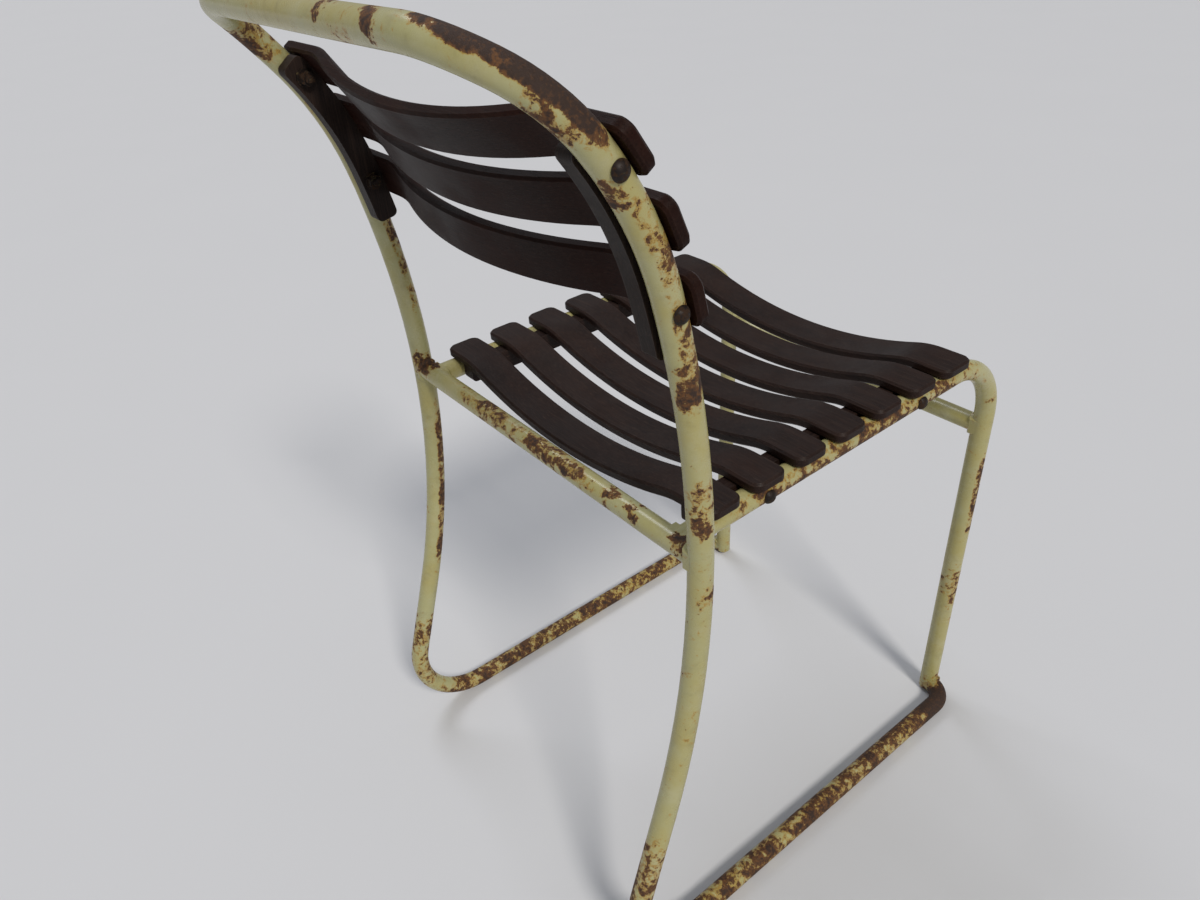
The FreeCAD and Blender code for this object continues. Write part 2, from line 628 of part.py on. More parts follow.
def make_slat(name, width, half_length):
    """Return the body of one dished slat, lying with its flat ends on z = 0."""
    body = doc.addObject("PartDesign::Body", name)
    half = body.newObject("PartDesign::Pad", name + "_half")
    half.Profile = draw_slat_section(body, name + "_section", half_length)
    half.SideType = "Symmetric"
    bind(half, "Length", "[%s]" % width)
    whole = body.newObject("PartDesign::Mirrored", name + "_whole")
    whole.Originals = [half]
    whole.MirrorPlane = (origin_plane(body, "YZ_Plane"), [""])
    whole.Refine = True
    body.Tip = whole
    doc.recompute()
    corners = body.newObject("PartDesign::Fillet", name + "_corners")
    corners.Base = (whole, edge_names(whole.Shape, 2))
    bind(corners, "Radius", "[slat_corner_radius]")
    doc.recompute()
    edges = body.newObject("PartDesign::Chamfer", name + "_edges")
    edges.Base = (corners, edge_names(corners.Shape, 1))
    bind(edges, "Size", "[slat_edge_break]")
    body.Tip = edges
    export_as(body, name)
    return body


# Seat slats lie on the tops of the rails, back slats on the front of the uprights
for number in range(SEAT_SLAT_COUNT):
    width_name = "slat_width" if number else "front_slat_width"
    slat = make_slat("seat_slat_%d" % (number + 1), width_name, "slat_half_length")
    slat_y, slat_z = rail_point(SLAT_DISTANCE.format(n=number))
    place(slat, y=slat_y + " + [tube_radius] * sin([rail_fall] * 1 deg)",
          z=slat_z + " + [tube_radius] * cos([rail_fall] * 1 deg)", tilt="-[rail_fall]")

UPPER_FRONT = "[upper_arc_radius] + [tube_radius]"
LOWER_FRONT = "[lower_arc_radius] + [tube_radius]"
BACK_SLATS = {
    "back_slat_top": ("[top_slat_lean]", UPPER_FRONT, "upper"),
    "back_slat_middle": ("[middle_slat_lean]", UPPER_FRONT, "upper"),
    "back_slat_low": ("[low_slat_lean]", LOWER_FRONT, "lower"),
}
for slat_name, (slat_lean, front_radius, arc_name) in BACK_SLATS.items():
    slat = make_slat(slat_name, "slat_width", "back_slat_half_length")
    slat_y, slat_z = back_point(slat_lean, front_radius, arc_name)
    place(slat, y=slat_y, z=slat_z, tilt="90 - " + slat_lean)


# Seat battens beside the rails
def draw_rectangle(body, name, wide, half_high):
    """Draw a rectangle from the Z axis outwards, centred on the X axis."""
    sketch = add_sketch(body, name, "XZ_Plane")
    width = dim(wide)
    height = dim(half_high)
    corners = [point(0, -height, 0), point(width, -height, 0),
               point(width, height, 0), point(0, height, 0)]
    lines = [sketch.addGeometry(Part.LineSegment(corners[i - 1], corners[i])) for i in range(4)]
    constrain(sketch, [("Coincident", lines[i - 1], END, lines[i], START) for i in range(4)])
    constrain(sketch, [
        ("Horizontal", lines[1]),
        ("Vertical", lines[2]),
        ("Horizontal", lines[3]),
        ("Symmetric", lines[0], START, lines[0], END, X_AXIS),
        ("PointOnObject", lines[0], START, Z_AXIS),
    ])
    drive(sketch, "width", "[%s]" % wide, "DistanceX", lines[1], START, lines[1], END, width)
    drive(sketch, "height", "[%s] * 2" % half_high,
          "DistanceY", lines[0], END, lines[0], START, height * 2)
    return sketch


seat_bar = doc.addObject("PartDesign::Body", "seat_batten_bar")
seat_pad = seat_bar.newObject("PartDesign::Pad", "seat_batten_pad")
seat_pad.Profile = draw_rectangle(seat_bar, "seat_batten_section", "batten_width", "tube_radius")
seat_pad.Reversed = True
bind(seat_pad, "Length", "[seat_batten_back] - [seat_batten_front]")
seat_bar.Tip = seat_pad
doc.recompute()
seat_ends = seat_bar.newObject("PartDesign::Fillet", "seat_batten_ends")
seat_ends.Base = (seat_pad, ["Edge%d" % index for index, edge in enumerate(seat_pad.Shape.Edges, start=1)
                             if edge.BoundBox.XLength > dim("batten_width") / 2])
bind(seat_ends, "Radius", "[batten_corner_radius]")
seat_bar.Tip = seat_ends
batten_y, batten_z = rail_point("[seat_batten_front]")
place(seat_bar, x="[batten_x]", y=batten_y, z=batten_z, tilt="-[rail_fall]")
seat_batten = cut("seat_batten_holes", seat_bar, holes["rail_x"])
export_as(seat_batten, "seat_batten_left")
export_as(mirrored("seat_batten_other", seat_batten), "seat_batten_right")


# Back battens, which follow the curve of the uprights
def offset_point(x, lean, offset):
    """Return a point beside the back curve, offset towards the front."""
    angle = radians(lean)
    outward = point(0, -cos(angle), sin(angle)) * offset
    on_curve = lower_arc_point if lean < dim("lower_arc_lean") else upper_arc_point
    return on_curve(x, lean) + outward


def back_batten_outline(x):
    """Return the outline of a back batten in the plane of constant x."""
    low = dim("back_batten_low_lean")
    join = dim("lower_arc_lean")
    top = dim("back_batten_top_lean")
    depth = dim("tube_radius")
    leans = [low, (low + join) / 2, join, (join + top) / 2, top]
    front = [offset_point(x, lean, depth) for lean in leans]
    back = [offset_point(x, lean, -depth) for lean in leans]
    return Part.Wire([
        arc_edge(front[0], front[1], front[2]),
        arc_edge(front[2], front[3], front[4]),
        Part.makeLine(front[4], back[4]),
        arc_edge(back[4], back[3], back[2]),
        arc_edge(back[2], back[1], back[0]),
        Part.makeLine(back[0], front[0]),
    ])


back_outline = doc.addObject("Part::Feature", "back_batten_outline")
back_outline.Shape = back_batten_outline(dim("back_batten_x"))
back_bar = doc.addObject("Part::Extrusion", "back_batten_bar")
back_bar.Base = back_outline
back_bar.DirMode = "Custom"
back_bar.Dir = FORE_AND_AFT
back_bar.Solid = True
bind(back_bar, "LengthFwd", "[batten_width]")
doc.recompute()
back_ends = doc.addObject("Part::Fillet", "back_batten_ends")
back_ends.Base = back_bar
end_radius = dim("batten_corner_radius")
across_edges = [(edge.CenterOfMass.z, index) for index, edge in enumerate(back_bar.Shape.Edges, start=1)
                if edge.BoundBox.XLength > dim("batten_width") / 2]
across_edges.sort()
back_ends.Edges = [(index, end_radius, end_radius)
                   for _, index in across_edges[:2] + across_edges[-2:]]
back_batten = cut("back_batten_holes", back_ends, holes["upright_x"])
export_as(back_batten, "back_batten_left")
export_as(mirrored("back_batten_other", back_batten), "back_batten_right")


# Bolts, washers and nuts, drawn once about the Z axis and linked into place
def make_bolt(name):
    """Return a domed bolt whose head sits on z = 0 and whose shank goes down."""
    body = doc.addObject("PartDesign::Body", name)
    sketch = add_sketch(body, name + "_section", "XZ_Plane")
    shank = dim("bolt_diameter") / 2
    head = dim("bolt_head_diameter") / 2
    height = dim("bolt_head_height")
    length = (dim("bolt_grip") + dim("washer_thickness")
              + dim("nut_thickness") + dim("bolt_tip"))
    dome = (head ** 2 + height ** 2) / (2 * height)
    rim = asin((dome - height) / dome)
    tip = point(0, -length, 0)
    tip_edge = point(shank, -length, 0)
    neck = point(shank, 0, 0)
    brim = point(head, 0, 0)
    crown = point(0, height, 0)
    circle = Part.Circle(point(0, height - dome, 0), point(0, 0, 1), dome)
    axis_line = sketch.addGeometry(Part.LineSegment(crown, tip))
    tip_line = sketch.addGeometry(Part.LineSegment(tip, tip_edge))
    shank_line = sketch.addGeometry(Part.LineSegment(tip_edge, neck))
    seat_line = sketch.addGeometry(Part.LineSegment(neck, brim))
    dome_arc = sketch.addGeometry(Part.ArcOfCircle(circle, rim, pi / 2))
    constrain(sketch, [
        ("Coincident", axis_line, END, tip_line, START),
        ("Coincident", tip_line, END, shank_line, START),
        ("Coincident", shank_line, END, seat_line, START),
        ("Coincident", seat_line, END, dome_arc, START),
        ("Coincident", dome_arc, END, axis_line, START),
        ("PointOnObject", axis_line, START, Z_AXIS),
        ("PointOnObject", axis_line, END, Z_AXIS),
        ("PointOnObject", dome_arc, CENTRE, Z_AXIS),
        ("Horizontal", tip_line),
        ("Vertical", shank_line),
        ("Horizontal", seat_line),
        ("PointOnObject", seat_line, START, X_AXIS),
    ])
    drive(sketch, "shank", "[bolt_diameter] / 2",
          "DistanceX", tip_line, START, tip_line, END, shank)
    drive(sketch, "head", "[bolt_head_diameter] / 2",
          "DistanceX", X_AXIS, START, seat_line, END, head)
    drive(sketch, "height", "[bolt_head_height]",
          "DistanceY", X_AXIS, START, dome_arc, END, height)
    drive(sketch, "length",
          "[bolt_grip] + [washer_thickness] + [nut_thickness] + [bolt_tip]",
          "DistanceY", shank_line, START, shank_line, END, length)
    turned = body.newObject("PartDesign::Revolution", name + "_turned")
    turned.Profile = sketch
    turned.ReferenceAxis = (sketch, ["V_Axis"])
    turned.Angle = 360
    body.Tip = turned
    return body


def drilled(name, blank, radius):
    """Return a blank with a round hole through it along Z."""
    drill = doc.addObject("Part::Cylinder", name + "_drill")
    bind(drill, "Radius", radius)
    bind(drill, "Height", "[nut_thickness] * 4")
    bind(drill, "Placement.Base.z", "[nut_thickness] * -2")
    return cut(name, blank, drill)


washer_blank = doc.addObject("Part::Cylinder", "washer_blank")
bind(washer_blank, "Radius", "[washer_diameter] / 2")
bind(washer_blank, "Height", "[washer_thickness]")
nut_blank = doc.addObject("Part::Prism", "nut_blank")
nut_blank.Polygon = 6
bind(nut_blank, "Circumradius", "[nut_across_flats] / sqrt(3)")
bind(nut_blank, "Height", "[nut_thickness]")
FASTENERS = {
    "bolts": (make_bolt("bolt_form"), "0"),
    "washers": (drilled("washer_form", washer_blank, "[bolt_hole_diameter] / 2"),
                "[bolt_grip] + [washer_thickness]"),
    "nuts": (drilled("nut_form", nut_blank, "[bolt_diameter] / 2"),
             "[bolt_grip] + [washer_thickness] + [nut_thickness]"),
}
for group_name, (form, depth) in FASTENERS.items():
    links = []
    for bolt_name, (bolt_y, bolt_z), axis_name in BOLTS:
        for side_name, side in (("left", 1), ("right", -1)):
            link = doc.addObject("App::Link", "%s_%s_%s" % (group_name, bolt_name, side_name))
            link.LinkedObject = form
            link.Placement = FreeCAD.Placement(
                FreeCAD.Vector(), FreeCAD.Rotation(ACROSS, 90 * side))
            place(link, x="%d * ([%s] + [tube_radius] - (%s))" % (side, axis_name, depth),
                  y=bolt_y, z=bolt_z)
            links.append(link)
    group = doc.addObject("Part::Compound", group_name + "_group")
    group.Links = links
    export_as(group, group_name)

doc.recompute()

# Check every object, then write one file for each sub-part
for obj in doc.Objects:
    if "Invalid" in obj.State or "Error" in obj.State:
        raise RuntimeError("%s did not build: %s" % (obj.Name, obj.State))
os.makedirs(OUT_DIR, exist_ok=True)
whole = Part.makeCompound([obj.Shape for obj in exports])
for obj in exports:
    if obj.Shape.isNull() or not obj.Shape.isValid():
        raise RuntimeError("%s has no valid shape" % obj.Label)
    obj.Shape.exportStep("%s/%s.step" % (OUT_DIR, obj.Label))
    print(obj.Label, len(obj.Shape.Solids), "solid(s)", round(obj.Shape.Volume / 1000, 2), "cm3")
box = whole.optimalBoundingBox()
print("size %.2f x %.2f x %.2f" % (box.XLength, box.YLength, box.ZLength))
print("middle %.3f %.3f, floor %.3f" % (box.Center.x, box.Center.y, box.ZMin))
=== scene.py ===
"""Looks of a cream-painted tubular stacking chair with dark bent-wood slats.

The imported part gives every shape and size. This script dresses its nodes with worn finishes,
adds the wood screws that hold the slats, and sets the chair on a pale floor in front of the
photograph's camera.
"""
import logging
import math
from collections.abc import Iterable
from dataclasses import dataclass
from enum import Enum
from typing import Any

import bmesh
import bpy
from mathutils import Matrix, Vector


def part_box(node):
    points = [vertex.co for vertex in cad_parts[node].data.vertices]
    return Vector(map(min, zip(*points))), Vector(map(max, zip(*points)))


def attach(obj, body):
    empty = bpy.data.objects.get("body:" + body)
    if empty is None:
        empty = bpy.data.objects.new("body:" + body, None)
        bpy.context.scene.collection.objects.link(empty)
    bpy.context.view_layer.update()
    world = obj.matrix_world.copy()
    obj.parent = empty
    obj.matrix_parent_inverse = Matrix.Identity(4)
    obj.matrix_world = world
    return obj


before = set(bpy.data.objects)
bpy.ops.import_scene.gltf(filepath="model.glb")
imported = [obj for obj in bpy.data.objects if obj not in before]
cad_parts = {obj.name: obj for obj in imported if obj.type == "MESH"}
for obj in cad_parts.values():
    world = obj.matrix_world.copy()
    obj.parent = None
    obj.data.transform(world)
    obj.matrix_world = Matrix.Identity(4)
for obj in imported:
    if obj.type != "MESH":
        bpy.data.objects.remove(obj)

LOG = logging.getLogger("chair")
MILLIMETRE = 0.001
BODY = "root"
UP = (0.0, 0.0, 1.0)
COATING_INDEX = 1.5
NOISE_MIDDLE = 0.5

Pair = tuple[float, float]
Triple = tuple[float, float, float]
Feed = float | str | tuple | Vector | bpy.types.NodeSocket
Sockets = dict[str, bpy.types.NodeSocket]


def colour(code: str) -> tuple[float, float, float, float]:
    """Turns a colour as a screen shows it into the linear colour that a shader takes.

    Args:
        code: Six hexadecimal digits, two each for red, green and blue.

    Returns:
        Red, green, blue and alpha in linear light.
    """
    knee, slope, offset, power = 0.04045, 12.92, 0.055, 2.4
    shares = [int(code[i:i + 2], 16) / 255 for i in (0, 2, 4)]
    linear = [s / slope if s <= knee else ((s + offset) / (1 + offset)) ** power for s in shares]
    return (*linear, 1.0)


@dataclass(frozen=True)
class Cloud:
    """Cloudy noise, and the step that cuts patches out of it.

    The scale counts cells per metre, the detail counts finer layers, the roughness is the weight
    of those layers, and the twist folds the noise.
    """

    scale: float = 1.0
    detail: float = 4.0
    roughness: float = 0.55
    step: Pair = (0.0, 1.0)
    twist: float = 0.0


@dataclass(frozen=True)
class Relief:
    """Bump: what a height of 1 stands for, in metres, and how much of it shows."""

    depth: float
    strength: float


class NodeSheet:
    """Places shader nodes in one tree and joins their sockets."""

    def __init__(self, tree: bpy.types.NodeTree) -> None:
        """Keeps the tree that the nodes go into."""
        self.tree = tree

    def node(self, kind: str, **settings: Any) -> bpy.types.Node:
        """Adds a node.

        Args:
            kind: Type name of the node.
            **settings: Properties to set on it.

        Returns:
            The new node.
        """
        made = self.tree.nodes.new(kind)
        for name, value in settings.items():
            setattr(made, name, value)
        return made

    def feed(self, socket: bpy.types.NodeSocket, value: Feed) -> None:
        """Links a socket to another one, or sets its value.

        Args:
            socket: Socket to fill.
            value: Another socket, a plain value, or a colour as six hexadecimal digits.
        """
        if isinstance(value, bpy.types.NodeSocket):
            self.tree.links.new(value, socket)
        else:
            socket.default_value = colour(value) if isinstance(value, str) else value

    def filled(self, made: bpy.types.Node, values: Iterable[Feed]) -> bpy.types.Node:
        """Feeds a node's inputs in order.

        Args:
            made: Node to fill.
            values: What goes into its inputs, from the first on.

        Returns:
            The same node.
        """
        for socket, value in zip(made.inputs, values):
            self.feed(socket, value)
        return made

    def maths(self, operation: str, *values: Feed, clamp: bool = False) -> bpy.types.NodeSocket:
        """Works out a number.

        Args:
            operation: Name of the operation.
            *values: Its operands, in order.
            clamp: Whether the result is kept between 0 and 1.

        Returns:
            The result's socket.
        """
        made = self.node("ShaderNodeMath", operation=operation, use_clamp=clamp)
        return self.filled(made, values).outputs["Value"]

    def vector(self, operation: str, *values: Feed) -> bpy.types.NodeSocket:
        """Works out a vector, or a number where the operation gives one.

        Args:
            operation: Name of the operation.
            *values: Its operands, in order.

        Returns:
            The result's socket.
        """
        made = self.filled(self.node("ShaderNodeVectorMath", operation=operation), values)
        return made.outputs["Value" if operation in ("DOT_PRODUCT", "LENGTH") else "Vector"]

    def rise(self, value: Feed, step: Pair) -> bpy.types.NodeSocket:
        """Gives a smooth step.

        Args:
            value: Number to step on.
            step: Where the step leaves 0 and where it reaches 1.

        Returns:
            The step's socket.
        """
        made = self.node("ShaderNodeMapRange", interpolation_type="SMOOTHSTEP")
        for name, given in zip(("Value", "From Min", "From Max"), (value, *step)):
            self.feed(made.inputs[name], given)
        return made.outputs["Result"]

    def fall(self, value: Feed, step: Pair) -> bpy.types.NodeSocket:
        """Gives the smooth step turned over, from 1 down to 0."""
        return self.maths("SUBTRACT", 1.0, self.rise(value, step))

    def mix(self, kind: str, ending: str, share: Feed, low: Feed,
            high: Feed) -> bpy.types.NodeSocket:
        """Mixes two colours or two numbers.

        Args:
            kind: The mix node's data type.
            ending: End of the names of that type's sockets.
            share: How much of the second one counts, from 0 to 1.
            low: The first one.
            high: The second one.

        Returns:
            The mixture's socket.
        """
        made = self.node("ShaderNodeMix", data_type=kind)
        given = {"Factor_Float": share, f"A_{ending}": low, f"B_{ending}": high}
        for socket in made.inputs:
            if socket.identifier in given:
                self.feed(socket, given[socket.identifier])
        return next(s for s in made.outputs if s.identifier == f"Result_{ending}")

    def lay(self, mask: Feed, below: Feed, above: Feed, share: float = 1.0) -> bpy.types.NodeSocket:
        """Lays one colour over another.

        Args:
            mask: Where the upper colour shows, from 0 to 1.
            below: Lower colour.
            above: Upper colour.
            share: How much of it shows at most.

        Returns:
            The mixed colour's socket.
        """
        shown = mask if share == 1.0 else self.maths("MULTIPLY", mask, share)
        return self.mix("RGBA", "Color", shown, below, above)

    def between(self, share: Feed, low: Feed, high: Feed) -> bpy.types.NodeSocket:
        """Mixes two numbers."""
        return self.mix("FLOAT", "Float", share, low, high)

    def noise(self, place: Feed, cloud: Cloud, scale: Feed | None = None,
              output: str = "Fac") -> bpy.types.NodeSocket:
        """Gives cloudy noise.

        Args:
            place: Position that the noise is read at.
            cloud: Kind of noise.
            scale: Scale to use in place of the cloud's own.
            output: The noise node's output.

        Returns:
            Socket of a number near 0.5, or of a colour.
        """
        made = self.node("ShaderNodeTexNoise")
        given = {"Vector": place, "Scale": cloud.scale if scale is None else scale,
                 "Detail": cloud.detail, "Roughness": cloud.roughness, "Distortion": cloud.twist}
        for name, value in given.items():
            self.feed(made.inputs[name], value)
        return made.outputs[output]

    def patches(self, place: Feed, cloud: Cloud, scale: Feed | None = None) -> bpy.types.NodeSocket:
        """Cuts patches out of cloudy noise."""
        return self.rise(self.noise(place, cloud, scale), cloud.step)

    def place(self) -> bpy.types.NodeSocket:
        """Gives the position on the chair, in metres."""
        return self.node("ShaderNodeTexCoord").outputs["Object"]

    def normal(self) -> bpy.types.NodeSocket:
        """Gives the way that the surface looks."""
        return self.node("ShaderNodeNewGeometry").outputs["Normal"]

    def bump(self, height: Feed, relief: Relief,
             normal: Feed | None = None) -> bpy.types.NodeSocket:
        """Turns a height into a normal.

        Args:
            height: Height from 0 to 1.
            relief: How deep the bump is.
            normal: Normal to start from, if not the surface's own.

        Returns:
            The normal's socket.
        """
        made = self.node("ShaderNodeBump")
        self.feed(made.inputs["Height"], height)
        self.feed(made.inputs["Distance"], relief.depth)
        self.feed(made.inputs["Strength"], relief.strength)
        if normal is not None:
            self.feed(made.inputs["Normal"], normal)
        return made.outputs["Normal"]


class PortKind(Enum):
    """Kinds of socket that a shared effect has."""

    VALUE = "NodeSocketFloat"
    VECTOR = "NodeSocketVector"


@dataclass(frozen=True)
class Port:
    """Named input or output of a shared effect."""

    name: str
    kind: PortKind = PortKind.VALUE


class Effect:
    """Surface effect kept as one shader group, which each finish places with its own values."""

    title = ""
    inputs: tuple[Port, ...] = ()
    outputs: tuple[Port, ...] = ()

    def wire(self, sheet: NodeSheet, into: Sockets) -> Sockets:
        """Fills the group.

        Args:
            sheet: Sheet of the group's own tree.
            into: The group's inputs by name.

        Returns:
            What each output gives, by name.
        """
        raise NotImplementedError

    def group(self) -> bpy.types.NodeTree:
        """Builds the group's tree the first time that it is asked for.

        Returns:
            The group's tree.
        """
        found = bpy.data.node_groups.get(self.title)
        if found is not None:
            return found
        tree = bpy.data.node_groups.new(self.title, "ShaderNodeTree")
        for ports, way in ((self.inputs, "INPUT"), (self.outputs, "OUTPUT")):
            for port in ports:
                tree.interface.new_socket(name=port.name, in_out=way, socket_type=port.kind.value)
        sheet = NodeSheet(tree)
        start = sheet.node("NodeGroupInput")
        end = sheet.node("NodeGroupOutput")
        given = self.wire(sheet, {port.name: start.outputs[port.name] for port in self.inputs})
        for name, value in given.items():
            sheet.feed(end.inputs[name], value)
        return tree

    def use(self, sheet: NodeSheet, label: str = "", **values: Feed) -> bpy.types.NodeOutputs:
        """Places the effect in a material.

        Args:
            sheet: Sheet of the material's tree.
            label: What the placed group is labelled.
            **values: Values or sockets for its inputs, by name.

        Returns:
            The placed group's outputs.
        """
        made = sheet.node("ShaderNodeGroup", node_tree=self.group(), label=label)
        for name, value in values.items():
            sheet.feed(made.inputs[name], value)
        return made.outputs


class WornZone(Effect):
    """Marks a rounded patch of the chair, on the side of it that faces one way."""

    title = "Worn zone"
    inputs = (Port("Place", PortKind.VECTOR), Port("Centre", PortKind.VECTOR),
              Port("Reach", PortKind.VECTOR), Port("Facing", PortKind.VECTOR),
              Port("Turned"), Port("Amount"))
    outputs = (Port("Amount"),)
    fade = (0.40, 1.30)
    front_step = (-0.15, 0.65)

    def wire(self, sheet: NodeSheet, into: Sockets) -> Sockets:
        """Fades with the distance from the centre and with the turn away from the facing.

        Args:
            sheet: Sheet of the group's own tree.
            into: The group's inputs by name.

        Returns:
            The amount left at each spot.
        """
        away = sheet.vector("SUBTRACT", into["Place"], into["Centre"])
        far = sheet.vector("LENGTH", sheet.vector("DIVIDE", away, into["Reach"]))
        near = sheet.fall(far, self.fade)
        toward = sheet.vector("DOT_PRODUCT", sheet.normal(), into["Facing"])
        seen = sheet.between(into["Turned"], 1.0, sheet.rise(toward, self.front_step))
        local = sheet.maths("MULTIPLY", near, seen)
        return {"Amount": sheet.maths("MULTIPLY", local, into["Amount"])}


class RustSpread(Effect):
    """Ragged rust that grows from specks to whole patches as its amount grows."""

    title = "Rust spread"
    inputs = (Port("Place", PortKind.VECTOR), Port("Amount"), Port("Scale"))
    outputs = (Port("Rust"), Port("Halo"), Port("Core"), Port("Height"))
    broad = Cloud(detail=2.0, roughness=0.5)
    broad_scale = 0.3
    ragged = Cloud(detail=7.0, roughness=0.68, twist=0.25)
    raggedness = 0.6
    crust = Cloud(detail=3.0, roughness=0.7)
    crust_scale = 9.0
    contrast = 5.0
    growth = 2.0
    rust_step = (0.0, 0.09)
    halo_step = (-0.34, 0.02)
    core_step = (0.10, 0.75)
    paint_height = 0.8
    crust_height = 0.9

    def wire(self, sheet: NodeSheet, into: Sockets) -> Sockets:
        """Compares broad and ragged noise with the amount.

        Args:
            sheet: Sheet of the group's own tree.
            into: The group's inputs by name.

        Returns:
            Masks of the rust, of the stain round it and of its core, and the surface's height.
        """
        place, scale = into["Place"], into["Scale"]
        broad = sheet.noise(place, self.broad, sheet.maths("MULTIPLY", scale, self.broad_scale))
        ragged = sheet.noise(place, self.ragged, scale)
        mixed = sheet.between(self.raggedness, broad, ragged)
        level = sheet.maths("SUBTRACT", mixed, NOISE_MIDDLE)
        grown = sheet.maths("MULTIPLY", sheet.maths("SUBTRACT", into["Amount"], 1.0), self.growth)
        depth = sheet.maths("ADD", sheet.maths("MULTIPLY", level, self.contrast), grown)
        rust = sheet.rise(depth, self.rust_step)
        halo = sheet.maths("MULTIPLY", sheet.rise(depth, self.halo_step),
                           sheet.maths("SUBTRACT", 1.0, rust))
        crust = sheet.noise(place, self.crust, sheet.maths("MULTIPLY", scale, self.crust_scale))
        rough = sheet.maths("MULTIPLY", crust, self.crust_height)
        return {"Rust": rust, "Halo": halo, "Core": sheet.rise(depth, self.core_step),
                "Height": sheet.between(rust, self.paint_height, rough)}


class CreviceDirtAndShade(Effect):
    """Dirt and painted shade where surfaces meet: ambient occlusion darkens the paint there."""

    title = "Crevice dirt and shade"
    inputs = (Port("Place", PortKind.VECTOR), Port("Reach"), Port("Scale"))
    outputs = (Port("DirtAndShade"),)
    samples = 4
    open_step = (0.35, 0.95)
    broken = Cloud(detail=4.0, roughness=0.6, step=(0.3, 0.65))

    def wire(self, sheet: NodeSheet, into: Sockets) -> Sockets:
        """Reads how closed in a spot is and breaks the result up.

        Args:
            sheet: Sheet of the group's own tree.
            into: The group's inputs by name.

        Returns:
            Mask of the dirt and painted shade.
        """
        # Ambient occlusion darkens enclosed spots: painted shade, broken up by noise as dirt.
        closed = sheet.node("ShaderNodeAmbientOcclusion", samples=self.samples)
        sheet.feed(closed.inputs["Distance"], into["Reach"])
        deep = sheet.fall(closed.outputs["AO"], self.open_step)
        broken = sheet.patches(into["Place"], self.broken, into["Scale"])
        return {"DirtAndShade": sheet.maths("MULTIPLY", deep, broken, clamp=True)}


class EdgeRub(Effect):
    """Edges rubbed by hands and by stacking."""

    title = "Edge rub"
    inputs = (Port("Place", PortKind.VECTOR), Port("Width"), Port("Scale"))
    outputs = (Port("Rub"),)
    samples = 4
    edge_step = (0.004, 0.10)
    broken = Cloud(detail=5.0, roughness=0.6, step=(0.36, 0.62))

    def wire(self, sheet: NodeSheet, into: Sockets) -> Sockets:
        """Compares the surface's normal with one rounded over the edge.

        Args:
            sheet: Sheet of the group's own tree.
            into: The group's inputs by name.

        Returns:
            Mask of the rubbed edges.
        """
        rounded = sheet.node("ShaderNodeBevel", samples=self.samples)
        sheet.feed(rounded.inputs["Radius"], into["Width"])
        match = sheet.vector("DOT_PRODUCT", rounded.outputs["Normal"], sheet.normal())
        edge = sheet.rise(sheet.maths("SUBTRACT", 1.0, match), self.edge_step)
        broken = sheet.patches(into["Place"], self.broken, into["Scale"])
        return {"Rub": sheet.maths("MULTIPLY", edge, broken, clamp=True)}


class WoodGrain(Effect):
    """Fibres, pores and broad figure of wood whose grain runs along the first axis.

    Each stretch gives the cells per metre along the grain and across it.
    """

    title = "Wood grain"
    inputs = (Port("Along", PortKind.VECTOR),)
    outputs = (Port("Figure"), Port("Fibre"), Port("Pore"), Port("Height"))
    figure = Cloud(1.0, 3.0, 0.5, (0.3, 0.7), 0.6)
    figure_stretch = (5.0, 60.0)
    fibre = Cloud(1.0, 5.0, 0.6)
    fibre_stretch = (22.0, 900.0)
    pore = Cloud(1.0, 2.0, 0.5, (0.58, 0.68))
    pore_stretch = (70.0, 1700.0)
    pore_depth = 0.6

    def wire(self, sheet: NodeSheet, into: Sockets) -> Sockets:
        """Draws noise out along the grain at three widths.

        Args:
            sheet: Sheet of the group's own tree.
            into: The group's inputs by name.

        Returns:
            The broad figure, the fibres, the pores and the surface's height.
        """
        def drawn(stretch: Pair) -> bpy.types.NodeSocket:
            """Scales the position so that noise comes out long and narrow."""
            along, across = stretch
            return sheet.vector("MULTIPLY", into["Along"], (along, across, across))

        figure = sheet.patches(drawn(self.figure_stretch), self.figure)
        fibre = sheet.noise(drawn(self.fibre_stretch), self.fibre)
        pore = sheet.patches(drawn(self.pore_stretch), self.pore)
        height = sheet.maths("SUBTRACT", fibre, sheet.maths("MULTIPLY", pore, self.pore_depth))
        return {"Figure": figure, "Fibre": fibre, "Pore": pore, "Height": height}


class SettledDust(Effect):
    """Thin dust on the faces that look up."""

    title = "Settled dust"
    inputs = (Port("Place", PortKind.VECTOR), Port("Scale"))
    outputs = (Port("Dust"),)
    upward_step = (0.2, 0.95)
    broken = Cloud(detail=5.0, roughness=0.6, step=(0.28, 0.72))

    def wire(self, sheet: NodeSheet, into: Sockets) -> Sockets:
        """Takes the upward faces and breaks them up with soft noise.

        Args:
            sheet: Sheet of the group's own tree.
            into: The group's inputs by name.

        Returns:
            Mask of the dust.
        """
        upward = sheet.rise(sheet.vector("DOT_PRODUCT", sheet.normal(), UP), self.upward_step)
        broken = sheet.patches(into["Place"], self.broken, into["Scale"])
        return {"Dust": sheet.maths("MULTIPLY", upward, broken)}


